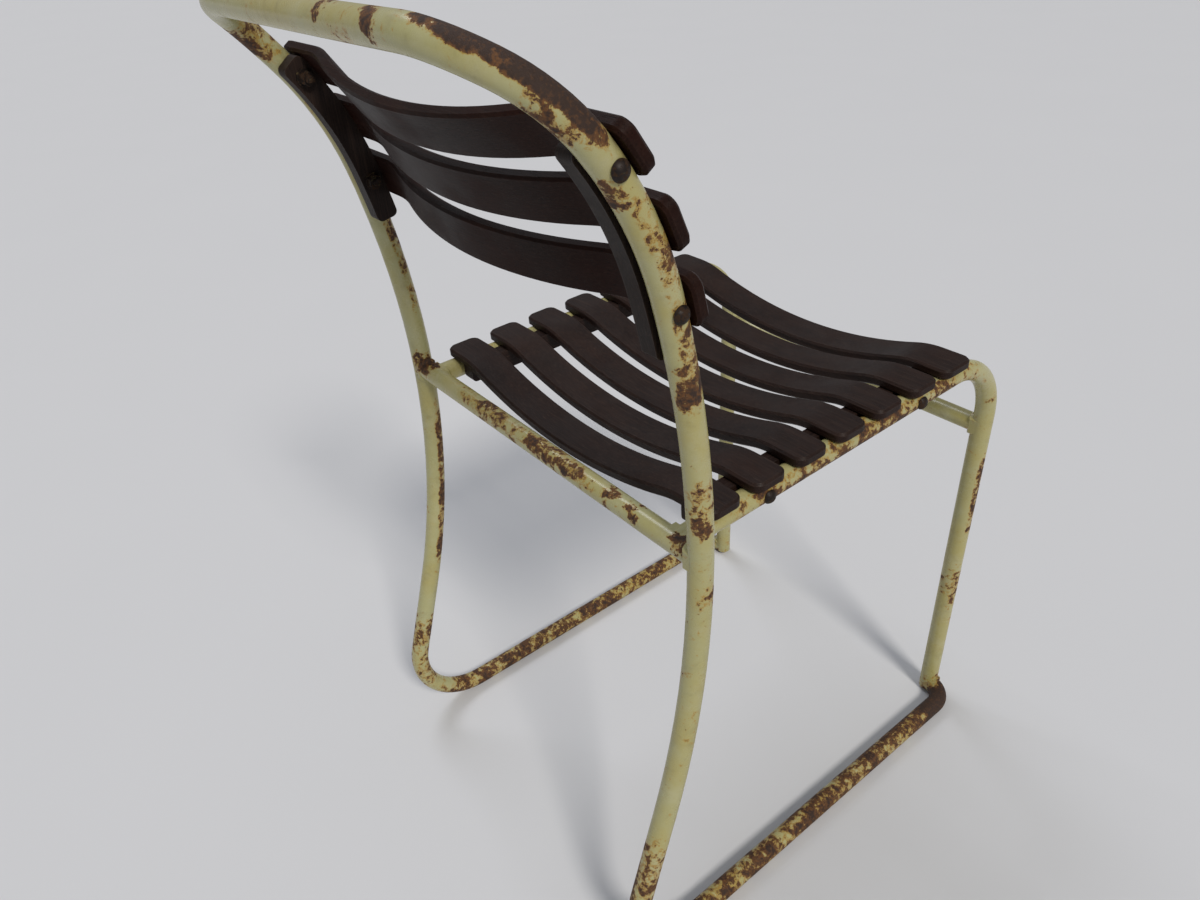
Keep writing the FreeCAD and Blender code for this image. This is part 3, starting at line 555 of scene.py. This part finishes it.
class Finish:
    """Surface finish that is built as one material."""

    name: str

    def paint(self, sheet: NodeSheet, skin: bpy.types.Node) -> None:
        """Wires the material.

        Args:
            sheet: Sheet of the material's tree.
            skin: Its principled shader.
        """
        raise NotImplementedError

    def material(self) -> bpy.types.Material:
        """Builds the finish's material the first time that it is asked for.

        Returns:
            The material.
        """
        found = bpy.data.materials.get(self.name)
        if found is not None:
            return found
        made = bpy.data.materials.new(self.name)
        made.use_nodes = True
        made.node_tree.nodes.clear()
        sheet = NodeSheet(made.node_tree)
        skin = sheet.node("ShaderNodeBsdfPrincipled")
        end = sheet.node("ShaderNodeOutputMaterial")
        sheet.feed(end.inputs["Surface"], skin.outputs["BSDF"])
        self.paint(sheet, skin)
        return made

    def dress(self, thing: bpy.types.Object) -> None:
        """Puts the finish on every slot of an object and reports it.

        Args:
            thing: Object to dress.
        """
        if not thing.material_slots:
            thing.data.materials.append(None)
        for slot in thing.material_slots:
            slot.material = self.material()
        LOG.info("%s dressed in %s", thing.name, self.name)

    def dress_nodes(self, names: Iterable[str]) -> None:
        """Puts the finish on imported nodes, by name."""
        for name in names:
            self.dress(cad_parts[name])


@dataclass(frozen=True)
class RustZone:
    """Patch of the frame that has rusted through its paint.

    Lengths in metres. Near and far are as the camera sees them. Where a facing is given, only
    the side of the tube that looks that way is rusted.
    """

    where: str
    centre: Triple
    reach: Triple
    amount: float
    facing: Triple = (0.0, 0.0, 0.0)


@dataclass(frozen=True)
class ChippedCreamPaint(Finish):
    """Yellowed gloss paint on steel tube, chipped and rusted in patches.

    A share is how much of an effect shows at most, a scale counts cells per metre, and a reach
    is in metres.
    """

    name: str = "chipped_cream_paint"
    cream: str = "a7a476"
    yellowed: str = "a79d62"
    faded: str = "b2af8d"
    # Grime colour, also laid in the joints as painted shade.
    grime_and_shade: str = "6b6141"
    stain: str = "a07a2c"
    bright_rust: str = "6c441a"
    dark_rust: str = "2f1c10"
    base_amount: float = 0.63
    drift: Cloud = Cloud(9.0, 2.0, 0.5)
    drift_share: float = 0.55
    fraying: Cloud = Cloud(75.0, 4.0, 0.6)
    fray_reach: float = 0.036
    patch_scale: float = 165.0
    speck_scale: float = 520.0
    speck_share: float = 0.45
    speck_floor: float = 0.33
    speck_stain: float = 0.5
    stain_share: float = 0.85
    age: Cloud = Cloud(14.0, 4.0, 0.6, (0.34, 0.68))
    wash: Cloud = Cloud(38.0, 5.0, 0.65, (0.42, 0.75))
    wash_share: float = 0.45
    film: Cloud = Cloud(70.0, 6.0, 0.7, (0.50, 0.80))
    film_share: float = 0.35
    # Reach, scale and share of the darkening in the joints: dirt and painted shade.
    dirt_and_shade_reach: float = 0.012
    dirt_and_shade_scale: float = 160.0
    dirt_and_shade_share: float = 0.75
    pitting: Cloud = Cloud(420.0, 5.0, 0.7, (0.35, 0.68))
    pitting_share: float = 0.75
    clean_roughness: float = 0.27
    filmed_roughness: float = 0.45
    rusted_roughness: float = 0.74
    brushing: Cloud = Cloud(120.0, 3.0, 0.5)
    brushed_relief: Relief = Relief(0.00035, 0.35)
    rust_relief: Relief = Relief(0.00045, 0.8)
    zones: tuple[RustZone, ...] = (
        RustZone("near corner of the hoop", (-0.182, 0.236, 0.776), (0.075, 0.07, 0.07), 1.45,
                 (-0.60, -0.40, 0.70)),
        RustZone("top of the hoop, near spot", (-0.106, 0.262, 0.795), (0.018, 0.02, 0.016), 1.15),
        RustZone("top of the hoop, middle", (-0.052, 0.262, 0.795), (0.012, 0.02, 0.012), 1.10),
        RustZone("far corner of the hoop", (0.190, 0.236, 0.768), (0.035, 0.05, 0.06), 1.00),
        RustZone("inside of the near corner", (-0.199, 0.228, 0.754), (0.022, 0.03, 0.032), 0.98),
        RustZone("under the upper bolt", (-0.202, 0.202, 0.713), (0.016, 0.016, 0.014), 1.15),
        RustZone("near upright, outer side", (-0.210, 0.165, 0.650), (0.03, 0.08, 0.125), 0.97,
                 (-0.92, -0.38, 0.0)),
        RustZone("near upright over the seat", (-0.206, 0.154, 0.588), (0.02, 0.022, 0.028), 1.05),
        RustZone("near upright at the seat", (-0.206, 0.144, 0.500), (0.018, 0.02, 0.022), 0.98),
        RustZone("near upright at the joint", (-0.205, 0.145, 0.478), (0.018, 0.018, 0.016), 1.10),
        RustZone("under the near joint", (-0.206, 0.142, 0.425), (0.02, 0.02, 0.05), 0.84),
        RustZone("foot of the near upright", (-0.200, 0.215, 0.100), (0.05, 0.08, 0.12), 1.02),
        RustZone("whole top of the cross tube", (0.010, 0.144, 0.453), (0.17, 0.02, 0.018), 0.98,
                 (0.0, 0.35, 0.94)),
        RustZone("cross tube, far patch", (0.070, 0.147, 0.452), (0.038, 0.02, 0.02), 1.08),
        RustZone("cross tube, second patch", (0.022, 0.145, 0.452), (0.026, 0.02, 0.02), 0.98),
        RustZone("cross tube, middle patch", (-0.036, 0.143, 0.452), (0.034, 0.02, 0.02), 1.12),
        RustZone("cross tube, small spot", (-0.102, 0.142, 0.453), (0.012, 0.012, 0.012), 1.20),
        RustZone("cross tube, near spot", (-0.127, 0.143, 0.453), (0.014, 0.012, 0.012), 1.15),
        RustZone("cross tube, near end", (-0.179, 0.144, 0.452), (0.014, 0.014, 0.016), 1.15),
        RustZone("far joint", (0.184, 0.142, 0.452), (0.020, 0.020, 0.018), 1.12),
        RustZone("far upright, low inner edge", (0.186, 0.155, 0.310), (0.022, 0.06, 0.16), 1.10,
                 (-0.55, -0.83, 0.0)),
        RustZone("far upright, high inner edge", (0.186, 0.155, 0.580), (0.022, 0.06, 0.12), 1.00,
                 (-0.60, -0.80, 0.0)),
        RustZone("under the near rail", (-0.174, -0.060, 0.442), (0.03, 0.24, 0.03), 1.12,
                 (-0.55, 0.0, -0.83)),
        RustZone("near rail", (-0.178, -0.060, 0.452), (0.03, 0.26, 0.03), 0.97, (-1.0, 0.0, 0.0)),
        RustZone("near front leg, top", (-0.180, -0.262, 0.290), (0.02, 0.03, 0.075), 1.08,
                 (-0.85, -0.52, 0.0)),
        RustZone("near front leg, middle", (-0.180, -0.258, 0.165), (0.018, 0.02, 0.05), 0.95),
        RustZone("near front leg, foot", (-0.172, -0.255, 0.010), (0.03, 0.03, 0.035), 0.88),
        RustZone("near front bend", (-0.200, -0.232, 0.010), (0.034, 0.055, 0.026), 1.45),
        RustZone("near runner", (-0.197, -0.020, 0.010), (0.05, 0.46, 0.05), 1.08),
        RustZone("far runner", (0.197, -0.020, 0.010), (0.05, 0.46, 0.05), 1.06),
        RustZone("far front leg", (0.172, -0.262, 0.100), (0.03, 0.03, 0.20), 0.86),
        RustZone("foot of the far upright", (0.200, 0.215, 0.100), (0.05, 0.08, 0.10), 0.98),
    )

    def fray(self, sheet: NodeSheet, place: Feed) -> bpy.types.NodeSocket:
        """Shifts positions a little to and fro, so that no patch has a round outline.

        Args:
            sheet: Sheet of the material's tree.
            place: Position on the chair.

        Returns:
            Socket of the shifted position.
        """
        cloud = sheet.noise(place, self.fraying, output="Color")
        swing = sheet.vector("SUBTRACT", cloud, (NOISE_MIDDLE,) * 3)
        return sheet.vector("ADD", place, sheet.vector("MULTIPLY", swing, (self.fray_reach,) * 3))

    def spread(self, sheet: NodeSheet, place: Feed) -> bpy.types.NodeSocket:
        """Finds how much rust there is at each spot, the most that any zone gives it.

        Args:
            sheet: Sheet of the material's tree.
            place: Position on the chair.

        Returns:
            Socket of the amount.
        """
        swing = sheet.maths("SUBTRACT", sheet.noise(place, self.drift), NOISE_MIDDLE)
        drift = sheet.maths("MULTIPLY", swing, self.drift_share)
        amount = sheet.maths("ADD", drift, self.base_amount)
        frayed = self.fray(sheet, place)
        for zone in self.zones:
            local = WornZone().use(sheet, zone.where, Place=frayed, Centre=zone.centre,
                                   Reach=zone.reach, Facing=zone.facing,
                                   Turned=float(any(zone.facing)), Amount=zone.amount)
            amount = sheet.maths("MAXIMUM", amount, local["Amount"])
        return amount

    def coat(self, sheet: NodeSheet, place: Feed, film: Feed, halo: Feed) -> bpy.types.NodeSocket:
        """Ages the paint: yellow, faded, grimy, stained round the rust, with dirt and painted shade
        in the joints.

        Args:
            sheet: Sheet of the material's tree.
            place: Position on the chair.
            film: Mask of the film of grime.
            halo: Mask of the stain.

        Returns:
            Socket of the paint's colour.
        """
        coat = sheet.lay(sheet.patches(place, self.age), self.cream, self.yellowed)
        coat = sheet.lay(sheet.patches(place, self.wash), coat, self.faded, self.wash_share)
        coat = sheet.lay(film, coat, self.grime_and_shade, self.film_share)
        # Darkening where surfaces meet: partly dirt, partly painted shade from ambient occlusion.
        dirt_and_shade = CreviceDirtAndShade().use(sheet, Place=place, Reach=self.dirt_and_shade_reach, Scale=self.dirt_and_shade_scale)
        coat = sheet.lay(dirt_and_shade["DirtAndShade"], coat, self.grime_and_shade, self.dirt_and_shade_share)
        return sheet.lay(halo, coat, self.stain, self.stain_share)

    def paint(self, sheet: NodeSheet, skin: bpy.types.Node) -> None:
        """Wires the paint and the rust that breaks through it.

        Args:
            sheet: Sheet of the material's tree.
            skin: Its principled shader.
        """
        place = sheet.place()
        amount = self.spread(sheet, place)
        patch = RustSpread().use(sheet, Place=place, Amount=amount, Scale=self.patch_scale)
        fewer = sheet.maths("MULTIPLY", amount, self.speck_share)
        fewer = sheet.maths("ADD", fewer, self.speck_floor)
        speck = RustSpread().use(sheet, Place=place, Amount=fewer, Scale=self.speck_scale)
        film = sheet.patches(place, self.film)
        specks = sheet.maths("MULTIPLY", speck["Halo"], self.speck_stain)
        halo = sheet.maths("MAXIMUM", patch["Halo"], specks)
        coat = self.coat(sheet, place, film, halo)
        pitted = sheet.maths("ADD", patch["Core"], sheet.patches(place, self.pitting))
        deep = sheet.maths("MULTIPLY", pitted, self.pitting_share, clamp=True)
        crust = sheet.lay(deep, self.bright_rust, self.dark_rust)
        rust = sheet.maths("MAXIMUM", patch["Rust"], speck["Rust"])
        sheet.feed(skin.inputs["Base Color"], sheet.lay(rust, coat, crust))
        dull = sheet.between(film, self.clean_roughness, self.filmed_roughness)
        sheet.feed(skin.inputs["Roughness"], sheet.between(rust, dull, self.rusted_roughness))
        brushed = sheet.bump(sheet.noise(place, self.brushing), self.brushed_relief)
        height = sheet.maths("MINIMUM", patch["Height"], speck["Height"])
        sheet.feed(skin.inputs["Normal"], sheet.bump(height, self.rust_relief, brushed))
        skin.inputs["IOR"].default_value = COATING_INDEX


class GrainRun(Enum):
    """Axis of the chair that a piece's grain runs along, with the turn that brings it to X."""

    ACROSS = (0.0, 0.0, 0.0)
    FORE_AND_AFT = (0.0, 0.0, -math.pi / 2)
    UPRIGHT = (0.0, math.pi / 2, 0.0)


@dataclass(frozen=True)
class DarkStainedWood(Finish):
    """Bent wood under an old, nearly black stain with a soft sheen."""

    name: str
    run: GrainRun = GrainRun.ACROSS
    stain: str = "1c1311"
    warm: str = "291a15"
    grey: str = "352e2c"
    worn: str = "46362d"
    pore: str = "0d0807"
    dusting: float = 0.25
    roughness: float = 0.42
    gloss: float = 0.12
    tone: Cloud = Cloud(17.0, 3.0, 0.55, (0.35, 0.66))
    figure_share: float = 0.5
    fibre_step: Pair = (0.45, 0.72)
    fibre_share: float = 0.35
    pore_share: float = 0.7
    rub_width: float = 0.0022
    rub_scale: float = 70.0
    rub_share: float = 0.32
    dust_scale: float = 30.0
    scuff: Cloud = Cloud(1.0, 2.0, 0.5, (0.70, 0.76))
    scuff_stretch: Triple = (60.0, 420.0, 420.0)
    scuff_share: float = 0.5
    duller: float = 0.14
    polish: float = 0.06
    grain_relief: Relief = Relief(0.00022, 0.55)

    def paint(self, sheet: NodeSheet, skin: bpy.types.Node) -> None:
        """Wires the grain, the stain's uneven tone, rubbed edges, dust and scuffs.

        Args:
            sheet: Sheet of the material's tree.
            skin: Its principled shader.
        """
        place = sheet.place()
        turn = sheet.node("ShaderNodeVectorRotate", rotation_type="EULER_XYZ")
        sheet.feed(turn.inputs["Vector"], place)
        sheet.feed(turn.inputs["Rotation"], self.run.value)
        along = turn.outputs["Vector"]
        grain = WoodGrain().use(sheet, Along=along)
        tone = sheet.patches(place, self.tone)
        mottle = sheet.between(self.figure_share, tone, grain["Figure"])
        wood = sheet.lay(mottle, self.stain, self.warm)
        fibre = sheet.rise(grain["Fibre"], self.fibre_step)
        wood = sheet.lay(fibre, wood, self.worn, self.fibre_share)
        wood = sheet.lay(grain["Pore"], wood, self.pore, self.pore_share)
        rub = EdgeRub().use(sheet, Place=place, Width=self.rub_width, Scale=self.rub_scale)["Rub"]
        wood = sheet.lay(rub, wood, self.worn, self.rub_share)
        dust = SettledDust().use(sheet, Place=place, Scale=self.dust_scale)["Dust"]
        wood = sheet.lay(dust, wood, self.grey, self.dusting)
        drawn = sheet.vector("MULTIPLY", along, self.scuff_stretch)
        wood = sheet.lay(sheet.patches(drawn, self.scuff), wood, self.worn, self.scuff_share)
        sheet.feed(skin.inputs["Base Color"], wood)
        patchy = sheet.between(tone, self.roughness, self.roughness + self.duller)
        polished = sheet.between(rub, patchy, self.roughness - self.polish)
        sheet.feed(skin.inputs["Roughness"], polished)
        sheet.feed(skin.inputs["Normal"], sheet.bump(grain["Height"], self.grain_relief))
        skin.inputs["IOR"].default_value = COATING_INDEX
        skin.inputs["Specular IOR Level"].default_value = self.gloss


@dataclass(frozen=True)
class BrownedSteel(Finish):
    """Browned steel fixings with traces of paint."""

    name: str
    steel: str = "261b15"
    shade: str = "17100d"
    rust: str = "3c2817"
    paint_trace: str = "8c8355"
    trace: float = 0.2
    rust_amount: float = 0.98
    rust_scale: float = 420.0
    rust_share: float = 0.7
    tone: Cloud = Cloud(160.0, 4.0, 0.6, (0.36, 0.66))
    hollows: Cloud = Cloud(260.0, 5.0, 0.65, (0.60, 0.66))
    bare_roughness: float = 0.5
    rusted_roughness: float = 0.8
    relief: Relief = Relief(0.0003, 0.7)
    metal_share: float = 0.2
    gloss: float = 0.3

    def paint(self, sheet: NodeSheet, skin: bpy.types.Node) -> None:
        """Wires the browned metal, its rust and the paint left in its hollows.

        Args:
            sheet: Sheet of the material's tree.
            skin: Its principled shader.
        """
        place = sheet.place()
        spread = RustSpread().use(sheet, Place=place, Amount=self.rust_amount,
                                  Scale=self.rust_scale)
        metal = sheet.lay(sheet.patches(place, self.tone), self.shade, self.steel)
        metal = sheet.lay(spread["Rust"], metal, self.rust, self.rust_share)
        left = sheet.patches(place, self.hollows)
        metal = sheet.lay(left, metal, self.paint_trace, self.trace)
        dull = sheet.between(spread["Rust"], self.bare_roughness, self.rusted_roughness)
        sheet.feed(skin.inputs["Base Color"], metal)
        sheet.feed(skin.inputs["Roughness"], dull)
        sheet.feed(skin.inputs["Normal"], sheet.bump(spread["Height"], self.relief))
        skin.inputs["Metallic"].default_value = self.metal_share
        skin.inputs["Specular IOR Level"].default_value = self.gloss


@dataclass(frozen=True)
class PaleFloor(Finish):
    """Plain pale floor of the studio."""

    name: str = "pale_floor"
    tint: str = "d2d3d6"
    shade: str = "c2c4c8"
    cloud: Cloud = Cloud(3.0, 2.0, 0.5)
    cloud_share: float = 0.12
    roughness: float = 0.6
    gloss: float = 0.25

    def paint(self, sheet: NodeSheet, skin: bpy.types.Node) -> None:
        """Wires one pale colour with the faintest unevenness.

        Args:
            sheet: Sheet of the material's tree.
            skin: Its principled shader.
        """
        cloud = sheet.noise(sheet.place(), self.cloud)
        pale = sheet.lay(cloud, self.tint, self.shade, self.cloud_share)
        sheet.feed(skin.inputs["Base Color"], pale)
        skin.inputs["Roughness"].default_value = self.roughness
        skin.inputs["Specular IOR Level"].default_value = self.gloss


@dataclass
class PaintedFrame:
    """The steel frame: long bent tube, side tubes, cross tubes and their weld fillets."""

    tubes: tuple[str, ...] = ("frame_tube", "side_tube_left", "side_tube_right",
                              "rear_cross_tube", "front_cross_tube", "weld_fillets")
    finish: ChippedCreamPaint = ChippedCreamPaint()

    def dress(self) -> None:
        """Paints every tube and weld."""
        self.finish.dress_nodes(self.tubes)


@dataclass
class SeatSlats:
    """Seven dished slats of the seat."""

    count: int = 7
    finish: DarkStainedWood = DarkStainedWood("dark_seat_wood")

    def names(self) -> list[str]:
        """Gives the slats' node names from the front to the rear."""
        return [f"seat_slat_{number}" for number in range(1, self.count + 1)]

    def dress(self) -> None:
        """Stains every slat."""
        self.finish.dress_nodes(self.names())


@dataclass
class BackSlats:
    """Three bowed slats of the back, a shade browner and cleaner than the seat."""

    rows: tuple[str, ...] = ("low", "middle", "top")
    finish: DarkStainedWood = DarkStainedWood(
        "dark_back_wood", stain="1b100d", warm="27140f", worn="38271f", dusting=0.04,
        roughness=0.40, gloss=0.06)

    def names(self) -> list[str]:
        """Gives the slats' node names from the lowest to the top."""
        return [f"back_slat_{row}" for row in self.rows]

    def dress(self) -> None:
        """Stains every slat."""
        self.finish.dress_nodes(self.names())


@dataclass
class Battens:
    """Wooden battens that carry the slats, two under the seat and two behind the back."""

    seat: tuple[str, ...] = ("seat_batten_left", "seat_batten_right")
    back: tuple[str, ...] = ("back_batten_left", "back_batten_right")
    seat_finish: DarkStainedWood = DarkStainedWood(
        "dark_seat_batten", GrainRun.FORE_AND_AFT, dusting=0.1)
    back_finish: DarkStainedWood = DarkStainedWood(
        "dark_back_batten", GrainRun.UPRIGHT, stain="1d1715", warm="271d19", dusting=0.2,
        roughness=0.46, gloss=0.12)

    def dress(self) -> None:
        """Stains the battens with the grain along each of them."""
        self.seat_finish.dress_nodes(self.seat)
        self.back_finish.dress_nodes(self.back)


@dataclass
class Fixings:
    """Bolts, washers and nuts that hold the battens to the tubes."""

    bolts: BrownedSteel = BrownedSteel("browned_bolt", trace=0.12)
    washers: BrownedSteel = BrownedSteel("browned_washer", trace=0.5)
    nuts: BrownedSteel = BrownedSteel("browned_nut", trace=0.3)

    def dress(self) -> None:
        """Browns the fixings."""
        self.bolts.dress_nodes(["bolts"])
        self.washers.dress_nodes(["washers"])
        self.nuts.dress_nodes(["nuts"])


@dataclass
class WoodScrews:
    """Slotted screws that hold the slats, from under the seat and from the front of the back.

    Lengths in metres. The crown's steps give a share of the head's radius and a share of its
    height. Each screw's slot is turned on from the one before, in radians.
    """

    head_radius: float = 3.4 * MILLIMETRE
    crown: float = 1.0 * MILLIMETRE
    crown_steps: tuple[Pair, ...] = ((0.0, 1.0), (0.35, 0.9), (0.7, 0.62), (0.92, 0.28), (1.0, 0.0))
    countersink: float = 2.2 * MILLIMETRE
    shank_radius: float = 1.6 * MILLIMETRE
    slot_half_width: float = 0.45 * MILLIMETRE
    slot_wall: float = 0.06 * MILLIMETRE
    slot_depth: float = 0.8 * MILLIMETRE
    slot_turn: float = 0.7
    merge_distance: float = 0.01 * MILLIMETRE
    segments: int = 32
    sharp_degrees: float = 40.0
    sight_length: float = 0.2
    finish: BrownedSteel = BrownedSteel("browned_screw", steel="3b2e26", trace=0.1)

    def head(self) -> bmesh.types.BMesh:
        """Builds one screw with its head up and its seat at the origin.

        Returns:
            The screw's mesh, closed, with the slot along Y.
        """
        made = bmesh.new()
        profile = [Vector((across * self.head_radius, 0.0, height * self.crown))
                   for across, height in self.crown_steps]
        profile.append(Vector((self.shank_radius, 0.0, -self.countersink)))
        profile.append(Vector((0.0, 0.0, -self.countersink)))
        points = [made.verts.new(point) for point in profile]
        edges = [made.edges.new(pair) for pair in zip(points, points[1:])]
        bmesh.ops.spin(made, geom=points + edges, cent=(0, 0, 0), axis=UP,
                       angle=math.tau, steps=self.segments, use_duplicate=False)
        bmesh.ops.remove_doubles(made, verts=made.verts, dist=self.merge_distance)
        self.cut_slot(made)
        bmesh.ops.recalc_face_normals(made, faces=made.faces)
        return made

    def cut_slot(self, made: bmesh.types.BMesh) -> None:
        """Scores the slot's walls across the head and lowers what lies between them.

        Args:
            made: The screw's mesh.
        """
        for wall in (self.slot_half_width, self.slot_half_width + self.slot_wall):
            for way in (-1, 1):
                bmesh.ops.bisect_plane(made, geom=made.verts[:] + made.edges[:] + made.faces[:],
                                       plane_co=(way * wall, 0, 0), plane_no=(1, 0, 0))
        # The walls' outer lines and the underside of the head stay where they are.
        inner_edge = self.slot_half_width + self.slot_wall / 3
        for point in made.verts:
            if abs(point.co.x) <= inner_edge and point.co.z > -self.slot_depth / 2:
                point.co.z = min(point.co.z, self.crown - self.slot_depth)

    def seats(self, seat: SeatSlats, back: BackSlats,
              battens: Battens) -> list[tuple[Vector, Vector]]:
        """Finds where each screw sits.

        Args:
            seat: The seat's slats.
            back: The back's slats.
            battens: The battens that the slats are fixed to.

        Returns:
            Point on the wood and the way that its face looks, for each screw.
        """
        found = []
        for batten in battens.seat:
            for slat in seat.names():
                found += self.strike(batten, batten, slat, Vector((0, 0, -1)))
        for batten in battens.back:
            for slat in back.names():
                found += self.strike(slat, batten, slat, Vector((0, -1, 0)))
        return found

    def strike(self, struck: str, batten: str, slat: str,
               side: Vector) -> list[tuple[Vector, Vector]]:
        """Finds where a screw from one side meets the wood at a crossing.

        Args:
            struck: Node that the screw's head sits on.
            batten: Batten at the crossing.
            slat: Slat at the crossing.
            side: Side that the head is on.

        Returns:
            The point and the face's way of looking, or nothing where the line misses.
        """
        start = sum(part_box(slat), Vector()) / 2
        start.x = sum(corner.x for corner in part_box(batten)) / 2
        start += side * self.sight_length
        hit, point, normal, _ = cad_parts[struck].ray_cast(start, -side)
        return [(point, normal)] if hit else []

    def build(self, seat: SeatSlats, back: BackSlats, battens: Battens) -> None:
        """Sets a screw at every crossing of slat and batten, as one piece.

        Args:
            seat: The seat's slats.
            back: The back's slats.
            battens: The battens that the slats are fixed to.
        """
        shape = self.head()
        whole = bmesh.new()
        for number, (point, normal) in enumerate(self.seats(seat, back, battens)):
            spin = Matrix.Rotation(self.slot_turn * number, 4, "Z")
            turn = normal.to_track_quat("Z", "Y").to_matrix().to_4x4()
            mesh = bpy.data.meshes.new("one_screw")
            shape.to_mesh(mesh)
            mesh.transform(Matrix.Translation(point) @ turn @ spin)
            whole.from_mesh(mesh)
            bpy.data.meshes.remove(mesh)
        mesh = bpy.data.meshes.new("slat_screws")
        whole.to_mesh(mesh)
        shape.free()
        whole.free()
        mesh.polygons.foreach_set("use_smooth", [True] * len(mesh.polygons))
        mesh.set_sharp_from_angle(angle=math.radians(self.sharp_degrees))
        piece = bpy.data.objects.new("slat_screws", mesh)
        bpy.context.scene.collection.objects.link(piece)
        self.finish.dress(piece)
        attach(piece, BODY)


@dataclass(frozen=True)
class BroadLamp:
    """Distant studio lamp with a broad face, which lights the whole floor evenly.

    The direction points from the chair to the lamp. The breadth is in degrees.
    """

    name: str
    toward: Triple
    breadth: float
    strength: float
    tint: str

    def build(self) -> None:
        """Hangs the lamp on the side that the direction names."""
        lamp = bpy.data.lights.new(self.name, "SUN")
        lamp.angle = math.radians(self.breadth)
        lamp.energy = self.strength
        lamp.color = colour(self.tint)[:3]
        holder = bpy.data.objects.new(self.name, lamp)
        holder.rotation_euler = Vector(self.toward).to_track_quat("Z", "Y").to_euler()
        bpy.context.scene.collection.objects.link(holder)
        LOG.info("%s hung", self.name)


@dataclass
class Studio:
    """Pale floor, broad lamps and the even light around them. Lengths in metres."""

    floor_radius: float = 60.0
    floor_sides: int = 96
    floor_finish: PaleFloor = PaleFloor()
    sky: str = "e4e6ea"
    sky_strength: float = 0.36
    background: str = "cdced2"
    lamps: tuple[BroadLamp, ...] = (
        BroadLamp("window_lamp", (-1.0, 0.22, 0.95), 13.0, 2.05, "fffaf2"),
        BroadLamp("room_lamp", (1.0, -0.1, 1.5), 24.0, 0.80, "f4f7ff"),
    )

    def build(self) -> None:
        """Lays the floor, hangs the lamps and sets the surrounding light."""
        shape = bmesh.new()
        bmesh.ops.create_circle(shape, cap_ends=True, radius=self.floor_radius,
                                segments=self.floor_sides)
        mesh = bpy.data.meshes.new("studio_floor")
        shape.to_mesh(mesh)
        shape.free()
        floor = bpy.data.objects.new("studio_floor", mesh)
        bpy.context.scene.collection.objects.link(floor)
        self.floor_finish.dress(floor)
        for lamp in self.lamps:
            lamp.build()
        self.surround()

    def surround(self) -> None:
        """Lights the chair evenly and shows the camera a pale background."""
        world = bpy.data.worlds.new("studio")
        world.use_nodes = True
        world.node_tree.nodes.clear()
        sheet = NodeSheet(world.node_tree)
        even = sheet.node("ShaderNodeBackground")
        seen = sheet.node("ShaderNodeBackground")
        rays = sheet.node("ShaderNodeLightPath")
        choice = sheet.node("ShaderNodeMixShader")
        end = sheet.node("ShaderNodeOutputWorld")
        sheet.filled(even, (self.sky, self.sky_strength))
        sheet.filled(seen, (self.background, 1.0))
        sheet.filled(choice, (rays.outputs["Is Camera Ray"], even.outputs["Background"],
                              seen.outputs["Background"]))
        sheet.feed(end.inputs["Surface"], choice.outputs["Shader"])
        bpy.context.scene.world = world


@dataclass(frozen=True)
class PhotographCamera:
    """Camera above and behind the chair, on its right side.

    Place and nearest distance in metres, angles in degrees, lens and sensor in millimetres. The
    heading is measured from +X towards +Y, the fall is how far the camera looks down, and the
    roll lifts its right side.
    """

    place: Triple = (-0.53665, 0.46334, 0.84789)
    heading: float = -35.881
    fall: float = 33.407
    roll: float = -4.432
    lens: float = 26.65
    sensor: float = 36.0
    nearest: float = 0.01

    def build(self) -> None:
        """Sets the camera at the photograph's viewing angle."""
        heading, fall, roll = map(math.radians, (self.heading, self.fall, self.roll))
        ahead = Vector((math.cos(fall) * math.cos(heading), math.cos(fall) * math.sin(heading),
                        -math.sin(fall)))
        right = Vector((math.sin(heading), -math.cos(heading), 0.0))
        up = right.cross(ahead)
        side = math.cos(roll) * right + math.sin(roll) * up
        top = math.cos(roll) * up - math.sin(roll) * right
        data = bpy.data.cameras.new("photograph_camera")
        data.lens = self.lens
        data.sensor_width = self.sensor
        data.sensor_fit = "HORIZONTAL"
        data.clip_start = self.nearest
        holder = bpy.data.objects.new("photograph_camera", data)
        turn = Matrix((side, top, -ahead)).transposed().to_4x4()
        holder.matrix_world = Matrix.Translation(self.place) @ turn
        bpy.context.scene.collection.objects.link(holder)
        bpy.context.scene.camera = holder


def main() -> None:
    """Dresses the chair, adds its screws, and sets the studio and the camera."""
    logging.basicConfig(level=logging.INFO, format="%(message)s")
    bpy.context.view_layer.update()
    PhotographCamera().build()
    seat, back, battens = SeatSlats(), BackSlats(), Battens()
    for part in (PaintedFrame(), seat, back, battens, Fixings()):
        part.dress()
    WoodScrews().build(seat, back, battens)
    Studio().build()
    bpy.context.scene.view_settings.view_transform = "Standard"


if __name__ == "__main__":
    main()
